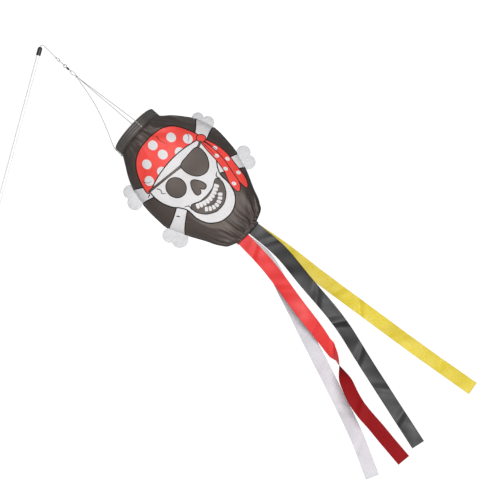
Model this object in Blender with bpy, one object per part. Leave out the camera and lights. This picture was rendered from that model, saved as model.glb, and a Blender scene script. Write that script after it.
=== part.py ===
"""Garden windsock with pole: a flat black fabric sock with a printed front, flying from a thin rod.

The pole stands on +Z with its foot at the origin. The sock flies towards +X and a little down, and its
printed front faces -Y. Everything past the cap is drawn in the flight frame: +X runs down the sock's
centre line from the pole to the tail, +Y is away from the print, and +Z is across the sock.
"""

import math

import bmesh
import bpy
import numpy as np
from mathutils import Matrix, Vector

# Pole: two rods joined by a sleeve, with a domed cap on top. Metres throughout.
POLE_DIAMETER = 0.006
LOWER_ROD_LENGTH = 0.600
UPPER_ROD_LENGTH = 0.600
ROD_CHAMFER = 0.0005
SLEEVE_LENGTH = 0.050
SLEEVE_WALL = 0.0008
CAP_LENGTH = 0.017
CAP_DIAMETER = 0.0086
CAP_ROOF = 0.002
CAP_CHAMBER = 0.0045
CAP_HOLE_DIAMETER = 0.0019

# Clearance between pieces that touch on the real object.
GAP = 0.0003

# Facets round a turned piece, and rows and columns of a fabric panel.
ROD_SEGMENTS = 32
SMALL_SEGMENTS = 16
CAP_SEGMENTS = 24
MOUTH_SEGMENTS = 48
HEM_SEGMENTS = 40
PANEL_ROWS = 22
PANEL_COLUMNS = 16
STREAMER_ROWS = 52

# Cords.
CORD_DIAMETER = 0.0012
STOP_KNOT_DIAMETER = 0.0038

# The flight frame.
FLIGHT_ANGLE = math.radians(28.0)
LINE_RISE = 0.005

# Snap and swivel, placed along the flight frame.
WIRE_DIAMETER = 0.0009
LINE_KNOT_AT = 0.0385
LINE_KNOT_LENGTH = 0.0044
KNOT_DIAMETER = 0.0034
SNAP_AT = 0.0455
SNAP_LENGTH = 0.0143
SNAP_HALF_WIDTH = 0.0024
GATE_LENGTH = 0.0073
GATE_HINGE_INSET = 0.0008
RING_RADIUS = 0.0027
RING_STEM_LENGTH = 0.0012
BARREL_DIAMETER = 0.0036
BARREL_LENGTH = 0.0066
BARREL_WALL = 0.0006
BARREL_SHOULDER = 0.0009
BARREL_TAPER = 0.0020
EYE_RADIUS = 0.0019
EYE_STEM_LENGTH = 0.0009
STEM_HEAD_DIAMETER = 0.0018
STEM_HEAD_LENGTH = 0.0008
STEM_HEAD_DEPTH = 0.0026
SPIN_GAP = 0.0002
BRIDLE_KNOT_LENGTH = 0.0060
BRIDLE_KNOT_DIAMETER = 0.0044
BRIDLE_LOOP_LENGTH = 0.0128

# Mouth band with the hoop inside it.
MOUTH_AT = 0.2465
MOUTH_DIAMETER = 0.100
BAND_LENGTH = 0.0186
BAND_WALL = 0.0010
HOOP_WALL = 0.0010
HOOP_LENGTH = 0.0160
ANCHOR_KNOT_DIAMETER = 0.0028
BRIDLE_ANGLES = {"front": 76.0, "back": -84.0, "side": 184.0}

# Sock: distance past the mouth's middle, lower edge, upper edge and half depth, between mouth and tail.
FABRIC = 0.0010
SEAM_GAP = 0.0006
SOCK_LENGTH = 0.2745
SOCK_SHAPE = (
    (0.0250, -0.0590, 0.0640, 0.0500),
    (0.0450, -0.0720, 0.0790, 0.0500),
    (0.0720, -0.0840, 0.0945, 0.0490),
    (0.1000, -0.0905, 0.1010, 0.0470),
    (0.1350, -0.0930, 0.0995, 0.0440),
    (0.1650, -0.0915, 0.0945, 0.0400),
    (0.1950, -0.0790, 0.0840, 0.0350),
    (0.2300, -0.0620, 0.0670, 0.0270),
    (0.2570, -0.0490, 0.0540, 0.0180),
    (0.2680, -0.0400, 0.0440, 0.0130),
)
TAIL_WIDTH = 0.053
TAIL_DEPTH = 0.018
HEM_LENGTH = 0.005
HEM_WALL = 0.0012

# Bone ends sewn into the side seams.
BONE_LOBE_RADIUS = 0.0125
BONE_LOBE_SPREAD = 0.011
BONE_REACH = 0.0085
BONE_THICKNESS = 0.0012
BONE_PLACES = {
    "bone_end_upper_mouth": (0.0760, 1),
    "bone_end_upper_tail": (0.1820, 1),
    "bone_end_lower_mouth": (0.0760, -1),
    "bone_end_lower_tail": (0.1840, -1),
}

# Streamers: distance past the hem, then how far across and in depth from the root, and twist in degrees.
STREAMER_WIDTH = 0.025
STREAMER_THICKNESS = 0.0008
STREAMER_SPACING = 0.002
STREAMER_ROOT_DEPTH = 0.0062
STREAMERS = {
    "streamer_red": (-1, -1, (
        (0.000, 0.0000, 0.0000, 0),
        (0.060, -0.0045, -0.0018, 4),
        (0.160, -0.0225, -0.0158, -6),
        (0.240, -0.0375, -0.0078, 8),
        (0.280, -0.0485, -0.0098, 60),
        (0.315, -0.0645, -0.0158, 150),
        (0.350, -0.0785, -0.0238, 176),
        (0.420, -0.0895, -0.0298, 184),
        (0.488, -0.0985, -0.0238, 178),
    )),
    "streamer_black": (1, -1, (
        (0.000, 0.0000, 0.0000, 0),
        (0.060, 0.0025, 0.0002, -4),
        (0.140, -0.0075, -0.0098, 4),
        (0.240, -0.0215, -0.0018, -4),
        (0.310, -0.0405, -0.0118, 6),
        (0.400, -0.0645, -0.0038, -4),
        (0.488, -0.0875, -0.0098, 2),
    )),
    "streamer_white": (-1, 1, (
        (0.000, 0.0000, 0.0000, 0),
        (0.050, 0.0025, 0.0018, 4),
        (0.130, -0.0235, 0.0138, -6),
        (0.220, -0.0575, 0.0058, 4),
        (0.310, -0.0915, 0.0178, -6),
        (0.400, -0.1275, 0.0078, 4),
        (0.466, -0.1605, 0.0138, 0),
    )),
    "streamer_yellow": (1, 1, (
        (0.000, 0.0000, 0.0000, 0),
        (0.060, 0.0085, 0.0018, 6),
        (0.150, 0.0165, 0.0158, -4),
        (0.260, 0.0275, 0.0058, 5),
        (0.370, 0.0395, 0.0178, -5),
        (0.492, 0.0545, 0.0098, 3),
    )),
}

# Cord routes, each point chosen by hand. The pole line's are along X and Z from the cap's mouth.
POLE_LINE_ROUTE = (
    (0.0000, 0.0007), (0.0001, 0.0016), (0.0006, 0.0026), (0.0015, 0.0035), (0.0028, 0.0040),
    (0.0043, 0.0038), (0.0060, 0.0030), (0.0080, 0.0019), (0.0105, 0.0005), (0.0135, -0.0012),
    (0.0170, -0.0031), (0.0205, -0.0051), (0.0240, -0.0072), (0.0275, -0.0093), (0.0318, -0.0117),
)
# Loops are along and across the flight frame, from the cord's middle at the loop's far end.
LINE_LOOP_ROUTE = (
    (-0.0057, -0.0011), (-0.0050, -0.0015), (-0.0041, -0.0019), (-0.0031, -0.0022), (-0.0020, -0.0022),
    (-0.0010, -0.0018), (-0.0003, -0.0010), (0.0000, 0.0000), (-0.0003, 0.0010), (-0.0010, 0.0018),
    (-0.0020, 0.0022), (-0.0031, 0.0022), (-0.0041, 0.0019), (-0.0050, 0.0015), (-0.0057, 0.0011),
)
BRIDLE_LOOP_ROUTE = (
    (0.0125, -0.0009), (0.0106, -0.0016), (0.0086, -0.0023), (0.0066, -0.0027), (0.0046, -0.0026),
    (0.0028, -0.0022), (0.0014, -0.0016), (0.0004, -0.0009), (0.0000, 0.0000), (0.0004, 0.0009),
    (0.0014, 0.0016), (0.0028, 0.0022), (0.0046, 0.0026), (0.0066, 0.0027), (0.0086, 0.0023),
    (0.0106, 0.0016), (0.0125, 0.0009),
)
# Bridles are along the flight frame from the knot and out from its centre line; the last points lie
# over the band. The side bridle also bows across by the third value.
BRIDLE_ROUTE = (
    (0.0942, 0.0013, 0.0000), (0.1030, 0.0038, 0.0008), (0.1130, 0.0075, 0.0022),
    (0.1230, 0.0112, 0.0037), (0.1340, 0.0152, 0.0050), (0.1450, 0.0192, 0.0060),
    (0.1560, 0.0232, 0.0066), (0.1670, 0.0272, 0.0067), (0.1780, 0.0312, 0.0064),
    (0.1890, 0.0351, 0.0057), (0.2000, 0.0391, 0.0046), (0.2100, 0.0427, 0.0034),
    (0.2190, 0.0459, 0.0021), (0.2270, 0.0486, 0.0010), (0.2330, 0.0503, 0.0003),
    (0.2370, 0.0510, 0.0000), (0.2420, 0.0511, 0.0000), (0.2470, 0.0511, 0.0000),
    (0.2518, 0.0511, 0.0000),
)

POLE_TOP = LOWER_ROD_LENGTH + UPPER_ROD_LENGTH
CAP_TOP = POLE_TOP + CAP_CHAMBER + CAP_ROOF
HEM_AT = MOUTH_AT + SOCK_LENGTH + GAP
STREAMERS_AT = HEM_AT + HEM_LENGTH + GAP
BAND_START = MOUTH_AT - BAND_LENGTH / 2
BAND_END = MOUTH_AT + BAND_LENGTH / 2
MOUTH_RADIUS = MOUTH_DIAMETER / 2 - GAP
SOCK_STATIONS = (
    (BAND_LENGTH / 2 + GAP, -MOUTH_RADIUS, MOUTH_RADIUS, MOUTH_RADIUS),
    *SOCK_SHAPE,
    (SOCK_LENGTH, -TAIL_WIDTH / 2, TAIL_WIDTH / 2, TAIL_DEPTH / 2),
)


def clear_scene():
    for obj in list(bpy.data.objects):
        bpy.data.objects.remove(obj)


def material(name, colour, roughness, metallic=0.0):
    made = bpy.data.materials.new(name)
    made.use_nodes = True
    shader = made.node_tree.nodes["Principled BSDF"]
    shader.inputs["Base Color"].default_value = (*colour, 1.0)
    shader.inputs["Roughness"].default_value = roughness
    shader.inputs["Metallic"].default_value = metallic
    return made


def empty(name, location, parent=None, tilt=0.0):
    made = bpy.data.objects.new(name, None)
    made.location = location
    made.rotation_euler = (0.0, tilt, 0.0)
    made.parent = parent
    bpy.context.collection.objects.link(made)
    return made


def place(name, data, look, parent=None, origin=(0, 0, 0)):
    """An object whose data is drawn in its parent's frame, with the object's origin at the given point."""
    data.transform(Matrix.Translation(-Vector(origin)))
    data.materials.append(look)
    made = bpy.data.objects.new(name, data)
    made.location = origin
    made.parent = parent
    bpy.context.collection.objects.link(made)
    return made


def mesh_from(name, shape, smooth_angle=35.0):
    bmesh.ops.recalc_face_normals(shape, faces=shape.faces)
    mesh = bpy.data.meshes.new(name)
    shape.to_mesh(mesh)
    shape.free()
    mesh.shade_smooth()
    mesh.set_sharp_from_angle(angle=math.radians(smooth_angle))
    return mesh


def turned(name, profile, segments, along="Z"):
    """A turned solid from a closed outline of (radius, height) points, or one that ends on the axis."""
    shape = bmesh.new()
    rings = []
    for radius, height in profile:
        count = segments if radius > 0 else 1
        angles = [2 * math.pi * i / segments for i in range(count)]
        rings.append([shape.verts.new((radius * math.cos(a), radius * math.sin(a), height)) for a in angles])
    closed = all(radius > 0 for radius, _ in profile)
    pairs = list(zip(rings, rings[1:]))
    if closed:
        pairs.append((rings[-1], rings[0]))
    for low, high in pairs:
        for i in range(segments):
            j = (i + 1) % segments
            corners = [low[i % len(low)], low[j % len(low)], high[j % len(high)], high[i % len(high)]]
            shape.faces.new(list(dict.fromkeys(corners)))
    if along == "X":
        bmesh.ops.rotate(shape, verts=shape.verts, matrix=Matrix.Rotation(math.pi / 2, 3, "Y"))
    return mesh_from(name, shape)


def arc(centre, radius, start, end, steps):
    """Points round a centre, with the angles in degrees."""
    turns = [math.radians(start + (end - start) * i / steps) for i in range(steps + 1)]
    return [(centre[0] + radius * math.cos(a), centre[1] + radius * math.sin(a)) for a in turns]


def curve_through(rows, where):
    """The values at a place on a smooth curve through rows, which start with that place."""
    table = np.array(rows, float)
    places = table[:, 0]
    slopes = np.gradient(table[:, 1:], places, axis=0)
    i = int(np.clip(np.searchsorted(places, where) - 1, 0, len(places) - 2))
    step = places[i + 1] - places[i]
    x = (where - places[i]) / step
    low, high = table[i, 1:], table[i + 1, 1:]
    return (
        (2 * x**3 - 3 * x**2 + 1) * low
        + (x**3 - 2 * x**2 + x) * step * slopes[i]
        + (3 * x**2 - 2 * x**3) * high
        + (x**3 - x**2) * step * slopes[i + 1]
    )


def smooth_route(points, spacing):
    """Points a given distance apart on a smooth curve through the route's own points."""
    points = np.array(points, float)
    lengths = np.r_[0, np.cumsum(np.linalg.norm(np.diff(points, axis=0), axis=1))]
    rows = np.column_stack([lengths, points])
    count = max(2, round(lengths[-1] / spacing))
    return [Vector(curve_through(rows, lengths[-1] * i / count)) for i in range(count + 1)]


def tube(name, points, radius, resolution=2):
    curve = bpy.data.curves.new(name, "CURVE")
    curve.dimensions = "3D"
    curve.bevel_depth = radius
    curve.bevel_resolution = resolution
    curve.use_fill_caps = True
    spline = curve.splines.new("POLY")
    spline.points.add(len(points) - 1)
    for target, point in zip(spline.points, points):
        target.co = (*point, 1.0)
    return curve


def helper(obj):
    obj.hide_render = True
    obj.display_type = "WIRE"
    return obj


def combine(obj, other, operation):
    modifier = obj.modifiers.new(operation.lower(), "BOOLEAN")
    modifier.object = helper(other)
    modifier.operation = operation
    modifier.solver = "EXACT"


# Pole and cap.


def make_rod(name, low, high, look):
    radius = POLE_DIAMETER / 2
    profile = [
        (0, low), (radius - ROD_CHAMFER, low), (radius, low + ROD_CHAMFER),
        (radius, high - ROD_CHAMFER), (radius - ROD_CHAMFER, high), (0, high),
    ]
    place(name, turned(name, profile, ROD_SEGMENTS), look)


def make_pole(looks):
    make_rod("pole_lower", 0.0, LOWER_ROD_LENGTH - GAP / 2, looks["fibreglass"])
    make_rod("pole_upper", LOWER_ROD_LENGTH + GAP / 2, POLE_TOP, looks["fibreglass"])
    inner = POLE_DIAMETER / 2 + GAP
    outer = inner + SLEEVE_WALL
    low = LOWER_ROD_LENGTH - SLEEVE_LENGTH / 2
    high = LOWER_ROD_LENGTH + SLEEVE_LENGTH / 2
    profile = [(outer, high), (outer, low), (inner, low), (inner, high)]
    place("pole_sleeve", turned("pole_sleeve", profile, ROD_SEGMENTS), looks["steel"])


def make_cap(looks):
    outer = CAP_DIAMETER / 2
    bore = POLE_DIAMETER / 2 + GAP
    hole = CAP_HOLE_DIAMETER / 2
    low = CAP_TOP - CAP_LENGTH
    dome = arc((0, CAP_TOP - outer), outer, 0, 75, 6)
    profile = [(bore, low), (outer, low)] + dome + [(hole, CAP_TOP)]
    profile += [(hole, CAP_TOP - CAP_ROOF), (bore, CAP_TOP - CAP_ROOF)]
    place("pole_cap", turned("pole_cap", profile, CAP_SEGMENTS), looks["black_rubber"])


def make_stop_knot(looks):
    """The knot that holds the line in the cap, with the short stretch of line that rises through its roof."""
    ball = STOP_KNOT_DIAMETER / 2
    neck = CORD_DIAMETER / 2
    centre = CAP_TOP - CAP_ROOF - GAP - ball
    side = math.degrees(math.acos(neck / ball))
    profile = [(0, centre - ball)] + arc((0, centre), ball, -70, side, 8) + [(neck, CAP_TOP), (0, CAP_TOP)]
    place("line_stop_knot", turned("line_stop_knot", profile, SMALL_SEGMENTS), looks["cord"], None, (0, 0, CAP_TOP))


# Line, snap and swivel.


def knot(name, at, length, diameter, looks, frame):
    """A rounded knot on the flight frame's centre line."""
    shape = bmesh.new()
    bmesh.ops.create_uvsphere(shape, u_segments=16, v_segments=10, radius=0.5)
    bmesh.ops.scale(shape, verts=shape.verts, vec=(length, diameter, diameter))
    bmesh.ops.translate(shape, verts=shape.verts, vec=(at, 0, 0))
    place(name, mesh_from(name, shape), looks["cord"], frame)


def make_line(looks, pivot, frame):
    route = smooth_route([(x, 0, z) for x, z in POLE_LINE_ROUTE], CORD_DIAMETER)
    place("pole_line", tube("pole_line", route, CORD_DIAMETER / 2), looks["cord"], pivot)
    knot("pole_line_knot", LINE_KNOT_AT, LINE_KNOT_LENGTH, KNOT_DIAMETER, looks, frame)
    loop_end = SNAP_AT + CORD_DIAMETER / 2 + GAP + WIRE_DIAMETER / 2
    route = smooth_route([(loop_end + a, 0, t) for a, t in LINE_LOOP_ROUTE], CORD_DIAMETER * 0.8)
    place("pole_line_loop", tube("pole_line_loop", route, CORD_DIAMETER / 2), looks["cord"], frame)


def make_snap(looks, frame):
    """A wire snap: a hook-shaped frame with a straight gate hinged on its open side."""
    half = SNAP_HALF_WIDTH
    near = SNAP_AT + half
    far = SNAP_AT + SNAP_LENGTH - half
    hinge = (far - GATE_HINGE_INSET, half)
    nose = hinge[0] - GATE_LENGTH - 2 * GAP
    outline = [(nose, half)] + arc((near, 0), half, 90, 270, 12) + arc((far, 0), half, -90, 90, 12)
    outline += [(hinge[0] + GAP, half)]
    points = [Vector((a, y, 0)) for a, y in outline]
    place("snap_frame", tube("snap_frame", points, WIRE_DIAMETER / 2), looks["dark_steel"], frame)
    gate = [Vector((hinge[0] - GAP - GATE_LENGTH * i / 4, half, 0)) for i in range(5)]
    origin = (hinge[0], half, 0)
    place("snap_gate", tube("snap_gate", gate, WIRE_DIAMETER / 2), looks["dark_steel"], frame, origin)


def make_eye(name, at, ring_at, radius, head_at, turned_up, looks, frame):
    """A wire ring whose stem ends in a head inside the barrel."""
    wire = WIRE_DIAMETER / 2
    shape = bmesh.new()
    section = arc((radius, 0), wire, 0, 360, 8)[:-1]
    rings = []
    steps = 24
    for i in range(steps):
        a = 2 * math.pi * i / steps
        spin = Matrix.Rotation(a, 3, "Y")
        rings.append([shape.verts.new(spin @ Vector((r, y, 0))) for r, y in section])
    for i in range(steps):
        low, high = rings[i], rings[(i + 1) % steps]
        for j in range(len(low)):
            k = (j + 1) % len(low)
            shape.faces.new([low[j], low[k], high[k], high[j]])
    if turned_up:
        bmesh.ops.rotate(shape, verts=shape.verts, matrix=Matrix.Rotation(math.pi / 2, 3, "X"))
    bmesh.ops.translate(shape, verts=shape.verts, vec=(ring_at, 0, 0))
    ring = place(name, mesh_from(name, shape), looks["dark_steel"], frame, (at, 0, 0))
    side = 1 if head_at > ring_at else -1
    neck = wire * 0.9
    head = STEM_HEAD_DIAMETER / 2
    start = ring_at + side * radius
    step = head_at - side * STEM_HEAD_LENGTH
    profile = [(0, start), (neck, start), (neck, step), (head, step), (head, head_at), (0, head_at)]
    stem = turned(name + "_stem", profile, SMALL_SEGMENTS, "X")
    combine(ring, place(name + "_stem", stem, looks["dark_steel"], frame), "UNION")


def make_barrel(low, looks, frame):
    outer = BARREL_DIAMETER / 2
    inner = outer - BARREL_WALL
    mouth = WIRE_DIAMETER / 2 + SPIN_GAP
    high = low + BARREL_LENGTH
    inside = BARREL_SHOULDER + BARREL_WALL
    profile = [
        (mouth, low), (outer * 0.62, low), (outer * 0.92, low + BARREL_SHOULDER), (outer, low + BARREL_TAPER),
        (outer, high - BARREL_TAPER), (outer * 0.92, high - BARREL_SHOULDER), (outer * 0.62, high),
        (mouth, high), (mouth, high - BARREL_WALL), (inner, high - inside), (inner, low + inside),
        (mouth, low + BARREL_WALL),
    ]
    place("swivel_barrel", turned("swivel_barrel", profile, CAP_SEGMENTS, "X"), looks["dark_steel"], frame)


def make_swivel(looks, frame):
    """The ring in the snap, the barrel behind it, and the eye that spins in the barrel."""
    ring_at = SNAP_AT + SNAP_LENGTH - WIRE_DIAMETER - GAP + RING_RADIUS
    barrel_at = ring_at + RING_RADIUS + RING_STEM_LENGTH
    barrel_end = barrel_at + BARREL_LENGTH
    head_at = barrel_at + STEM_HEAD_DEPTH
    make_eye("swivel_ring", ring_at, ring_at, RING_RADIUS, head_at, False, looks, frame)
    make_barrel(barrel_at, looks, frame)
    eye_at = barrel_end + EYE_STEM_LENGTH + EYE_RADIUS
    head_at = barrel_end - STEM_HEAD_DEPTH
    make_eye("swivel_eye", barrel_end, eye_at, EYE_RADIUS, head_at, True, looks, frame)
    return eye_at + EYE_RADIUS - WIRE_DIAMETER / 2 - GAP - CORD_DIAMETER / 2


# Bridle.


def make_bridle(loop_at, looks, frame):
    route = smooth_route([(loop_at + a, 0, t) for a, t in BRIDLE_LOOP_ROUTE], CORD_DIAMETER)
    place("bridle_loop", tube("bridle_loop", route, CORD_DIAMETER / 2), looks["cord"], frame, (loop_at, 0, 0))
    knot_at = loop_at + BRIDLE_LOOP_LENGTH + BRIDLE_KNOT_LENGTH / 2
    knot("bridle_knot", knot_at, BRIDLE_KNOT_LENGTH, BRIDLE_KNOT_DIAMETER, looks, frame)
    for side, degrees in BRIDLE_ANGLES.items():
        angle = math.radians(degrees)
        bow = 1.0 if side == "side" else 0.0
        out = Vector((0, -math.sin(angle), math.cos(angle)))
        points = [Vector((a, 0, 0)) + out * (r - bow * b) for a, r, b in BRIDLE_ROUTE]
        route = smooth_route(points, 3 * CORD_DIAMETER)
        place("bridle_" + side, tube("bridle_" + side, route, CORD_DIAMETER / 2), looks["cord"], frame)
        shape = bmesh.new()
        bmesh.ops.create_uvsphere(shape, u_segments=12, v_segments=8, radius=ANCHOR_KNOT_DIAMETER / 2)
        centre = MOUTH_DIAMETER / 2 + GAP + ANCHOR_KNOT_DIAMETER / 2
        end = BRIDLE_ROUTE[-1][0] + GAP + ANCHOR_KNOT_DIAMETER / 2
        bmesh.ops.translate(shape, verts=shape.verts, vec=Vector((end, 0, 0)) + out * centre)
        name = "bridle_knot_" + side
        place(name, mesh_from(name, shape), looks["cord"], frame)


# Mouth band, sock and hem.


def make_mouth(looks, frame):
    outer = MOUTH_DIAMETER / 2
    hoop_outer = outer - BAND_WALL - GAP
    hoop_inner = hoop_outer - HOOP_WALL
    inner = hoop_inner - GAP - BAND_WALL
    edge = BAND_WALL / 2
    fold = BAND_START + BAND_WALL
    profile = [
        (outer, BAND_END), (outer, BAND_START + edge), (outer - edge, BAND_START),
        (inner + edge, BAND_START), (inner, BAND_START + edge), (inner, BAND_END),
        (inner + BAND_WALL, BAND_END), (inner + BAND_WALL, fold),
        (outer - BAND_WALL, fold), (outer - BAND_WALL, BAND_END),
    ]
    place("mouth_band", turned("mouth_band", profile, MOUTH_SEGMENTS, "X"), looks["black_band"], frame)
    low = fold + GAP
    high = low + HOOP_LENGTH
    profile = [(hoop_outer, high), (hoop_outer, low), (hoop_inner, low), (hoop_inner, high)]
    place("mouth_hoop", turned("mouth_hoop", profile, MOUTH_SEGMENTS, "X"), looks["hoop_plastic"], frame)


def sock_point(where, turn, side):
    """A point of the sock's outer face: side is -1 on the front and 1 on the back."""
    low, high, depth = curve_through(SOCK_STATIONS, where)
    across = (high + low) / 2 + (high - low) / 2 * math.cos(turn)
    return MOUTH_AT + where, side * (SEAM_GAP / 2 + depth * math.sin(turn)), across


def make_panel(name, side, looks, frame):
    first, last = SOCK_STATIONS[0][0], SOCK_STATIONS[-1][0]
    shape = bmesh.new()
    grid = []
    turns = [math.pi * j / PANEL_COLUMNS for j in range(PANEL_COLUMNS + 1)]
    for i in range(PANEL_ROWS + 1):
        where = first + (last - first) * i / PANEL_ROWS
        grid.append([shape.verts.new(sock_point(where, turn, side)) for turn in turns])
    for i in range(PANEL_ROWS):
        for j in range(PANEL_COLUMNS):
            corners = [grid[i][j], grid[i + 1][j], grid[i + 1][j + 1], grid[i][j + 1]]
            shape.faces.new(corners if side > 0 else corners[::-1])
    mesh = bpy.data.meshes.new(name)
    shape.to_mesh(mesh)
    shape.free()
    mesh.shade_smooth()
    panel = place(name, mesh, looks["black_nylon"], frame)
    solidify = panel.modifiers.new("fabric", "SOLIDIFY")
    solidify.thickness = FABRIC
    solidify.offset = -1.0


def make_hem(looks, frame):
    """The binding round the tail's flattened opening."""
    half = TAIL_WIDTH / 2
    depth = TAIL_DEPTH / 2
    shape = bmesh.new()
    sections = [(half, depth, 0), (half, depth, HEM_LENGTH)]
    sections += [(half - HEM_WALL, depth - HEM_WALL, HEM_LENGTH), (half - HEM_WALL, depth - HEM_WALL, 0)]
    count = HEM_SEGMENTS
    turns = [2 * math.pi * i / count for i in range(count)]
    rings = []
    for wide, deep, at in sections:
        rings.append([shape.verts.new((HEM_AT + at, -deep * math.sin(a), wide * math.cos(a))) for a in turns])
    for k in range(4):
        low_ring, high_ring = rings[k], rings[(k + 1) % 4]
        for i in range(count):
            j = (i + 1) % count
            shape.faces.new([low_ring[i], low_ring[j], high_ring[j], high_ring[i]])
    place("tail_hem", mesh_from("tail_hem", shape), looks["black_nylon"], frame)


# Bone ends.


def prism(name, outline, half_depth):
    shape = bmesh.new()
    face = shape.faces.new([shape.verts.new((x, -half_depth, z)) for x, z in outline])
    sides = bmesh.ops.extrude_face_region(shape, geom=[face])["geom"]
    moved = [item for item in sides if isinstance(item, bmesh.types.BMVert)]
    bmesh.ops.translate(shape, verts=moved, vec=(0, 2 * half_depth, 0))
    return mesh_from(name, shape)


def sock_outline():
    """The sock's silhouette, a clearance larger, as the bone ends' seats."""
    first, last = SOCK_STATIONS[0][0], SOCK_STATIONS[-1][0]
    places = [first + (last - first) * i / 60 for i in range(61)]
    values = [curve_through(SOCK_STATIONS, where) for where in places]
    upper = [(MOUTH_AT + s, v[1] + GAP) for s, v in zip(places, values)]
    lower = [(MOUTH_AT + s, v[0] - GAP) for s, v in zip(places, values)]
    return upper + lower[::-1]


def make_bone_ends(looks, frame):
    cutter = place("sock_silhouette", prism("sock_silhouette", sock_outline(), 0.01), looks["white_fabric"], frame)
    lean = math.degrees(math.acos(BONE_LOBE_SPREAD / BONE_LOBE_RADIUS))
    for name, (where, side) in BONE_PLACES.items():
        edges = [curve_through(SOCK_STATIONS, where + step)[1 if side > 0 else 0] for step in (-0.005, 0, 0.005)]
        along = Vector((0.010, edges[2] - edges[0])).normalized()
        out = Vector((-along.y, along.x)) * side
        centre = Vector((MOUTH_AT + where, edges[1])) + out * BONE_REACH
        lobes = arc((-BONE_LOBE_SPREAD, 0), BONE_LOBE_RADIUS, lean, 360 - lean, 28)
        lobes += arc((BONE_LOBE_SPREAD, 0), BONE_LOBE_RADIUS, 180 + lean, 540 - lean, 28)[1:-1]
        outline = [centre + along * x + out * z for x, z in lobes]
        bone = place(name, prism(name, outline, BONE_THICKNESS / 2), looks["white_fabric"], frame)
        combine(bone, cutter, "DIFFERENCE")


# Streamers.


def make_streamer(name, place_across, place_deep, rows, look, frame):
    """A flat ribbon along a smooth path, its width across the path and turned by the twist."""
    root_across = place_across * (STREAMER_WIDTH + STREAMER_SPACING) / 2
    root_deep = place_deep * STREAMER_ROOT_DEPTH
    length = rows[-1][0]
    count = STREAMER_ROWS
    centres = []
    twists = []
    for i in range(count + 1):
        along = length * i / count
        across, depth, twist = curve_through(rows, along)
        centres.append(Vector((STREAMERS_AT + along, root_deep + depth, root_across + across)))
        twists.append(math.radians(twist))
    shape = bmesh.new()
    rings = []
    for i, centre in enumerate(centres):
        heading = (centres[min(i + 1, count)] - centres[max(i - 1, 0)]).normalized()
        width = Vector((0, 1, 0)).cross(heading).normalized()
        if i == 0:
            heading, width = Vector((1, 0, 0)), Vector((0, 0, -1))
        width = Matrix.Rotation(twists[i], 3, heading) @ width
        face = heading.cross(width)
        corners = [(1, 1), (-1, 1), (-1, -1), (1, -1)]
        half = (STREAMER_WIDTH / 2, STREAMER_THICKNESS / 2)
        rings.append([shape.verts.new(centre + width * half[0] * w + face * half[1] * f) for w, f in corners])
    for low, high in zip(rings, rings[1:]):
        for j in range(4):
            k = (j + 1) % 4
            shape.faces.new([low[j], low[k], high[k], high[j]])
    shape.faces.new(rings[0])
    shape.faces.new(rings[-1])
    place(name, mesh_from(name, shape), look, frame, (STREAMERS_AT, root_deep, 0))


def main():
    clear_scene()
    looks = {
        "fibreglass": material("fibreglass", (0.86, 0.86, 0.85), 0.35),
        "steel": material("steel", (0.55, 0.55, 0.56), 0.35, 1.0),
        "dark_steel": material("dark_steel", (0.12, 0.12, 0.12), 0.4, 1.0),
        "black_rubber": material("black_rubber", (0.02, 0.02, 0.02), 0.45),
        "cord": material("cord", (0.85, 0.85, 0.84), 0.8),
        "black_nylon": material("black_nylon", (0.045, 0.04, 0.038), 0.55),
        "black_band": material("black_band", (0.05, 0.045, 0.043), 0.6),
        "hoop_plastic": material("hoop_plastic", (0.6, 0.6, 0.58), 0.4),
        "white_fabric": material("white_fabric", (0.75, 0.75, 0.76), 0.7),
        "streamer_red": material("streamer_red", (0.75, 0.06, 0.05), 0.6),
        "streamer_black": material("streamer_black", (0.04, 0.04, 0.04), 0.6),
        "streamer_white": material("streamer_white", (0.8, 0.8, 0.82), 0.6),
        "streamer_yellow": material("streamer_yellow", (0.85, 0.72, 0.07), 0.6),
    }
    make_pole(looks)
    make_cap(looks)
    make_stop_knot(looks)
    pivot = empty("cap_pivot", (0, 0, CAP_TOP))
    frame = empty("flight_frame", (0, 0, LINE_RISE), pivot, FLIGHT_ANGLE)
    make_line(looks, pivot, frame)
    make_snap(looks, frame)
    loop_at = make_swivel(looks, frame)
    make_bridle(loop_at, looks, frame)
    make_mouth(looks, frame)
    make_panel("sock_front", -1, looks, frame)
    make_panel("sock_back", 1, looks, frame)
    make_hem(looks, frame)
    make_bone_ends(looks, frame)
    for name, (across, deep, rows) in STREAMERS.items():
        make_streamer(name, across, deep, rows, looks[name], frame)


main()
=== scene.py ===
"""Looks for the garden windsock with pole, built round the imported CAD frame.

Lengths are metres. A point past the cap is written in the flight frame: a runs down the sock's centre line
from the cap, y points away from the printed front, and t runs across the sock.
"""

import math

import bpy
import numpy as np
from mathutils import Matrix, Vector
from mathutils.geometry import delaunay_2d_cdt


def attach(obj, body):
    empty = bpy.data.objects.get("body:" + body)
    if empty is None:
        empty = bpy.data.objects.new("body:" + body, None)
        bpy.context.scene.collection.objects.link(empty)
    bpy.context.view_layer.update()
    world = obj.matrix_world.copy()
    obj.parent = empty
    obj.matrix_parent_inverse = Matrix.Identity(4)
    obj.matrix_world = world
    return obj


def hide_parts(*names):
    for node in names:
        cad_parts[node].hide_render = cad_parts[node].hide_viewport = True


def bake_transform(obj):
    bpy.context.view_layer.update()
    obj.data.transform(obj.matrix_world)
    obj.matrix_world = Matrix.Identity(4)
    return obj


MM = 0.001

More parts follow.
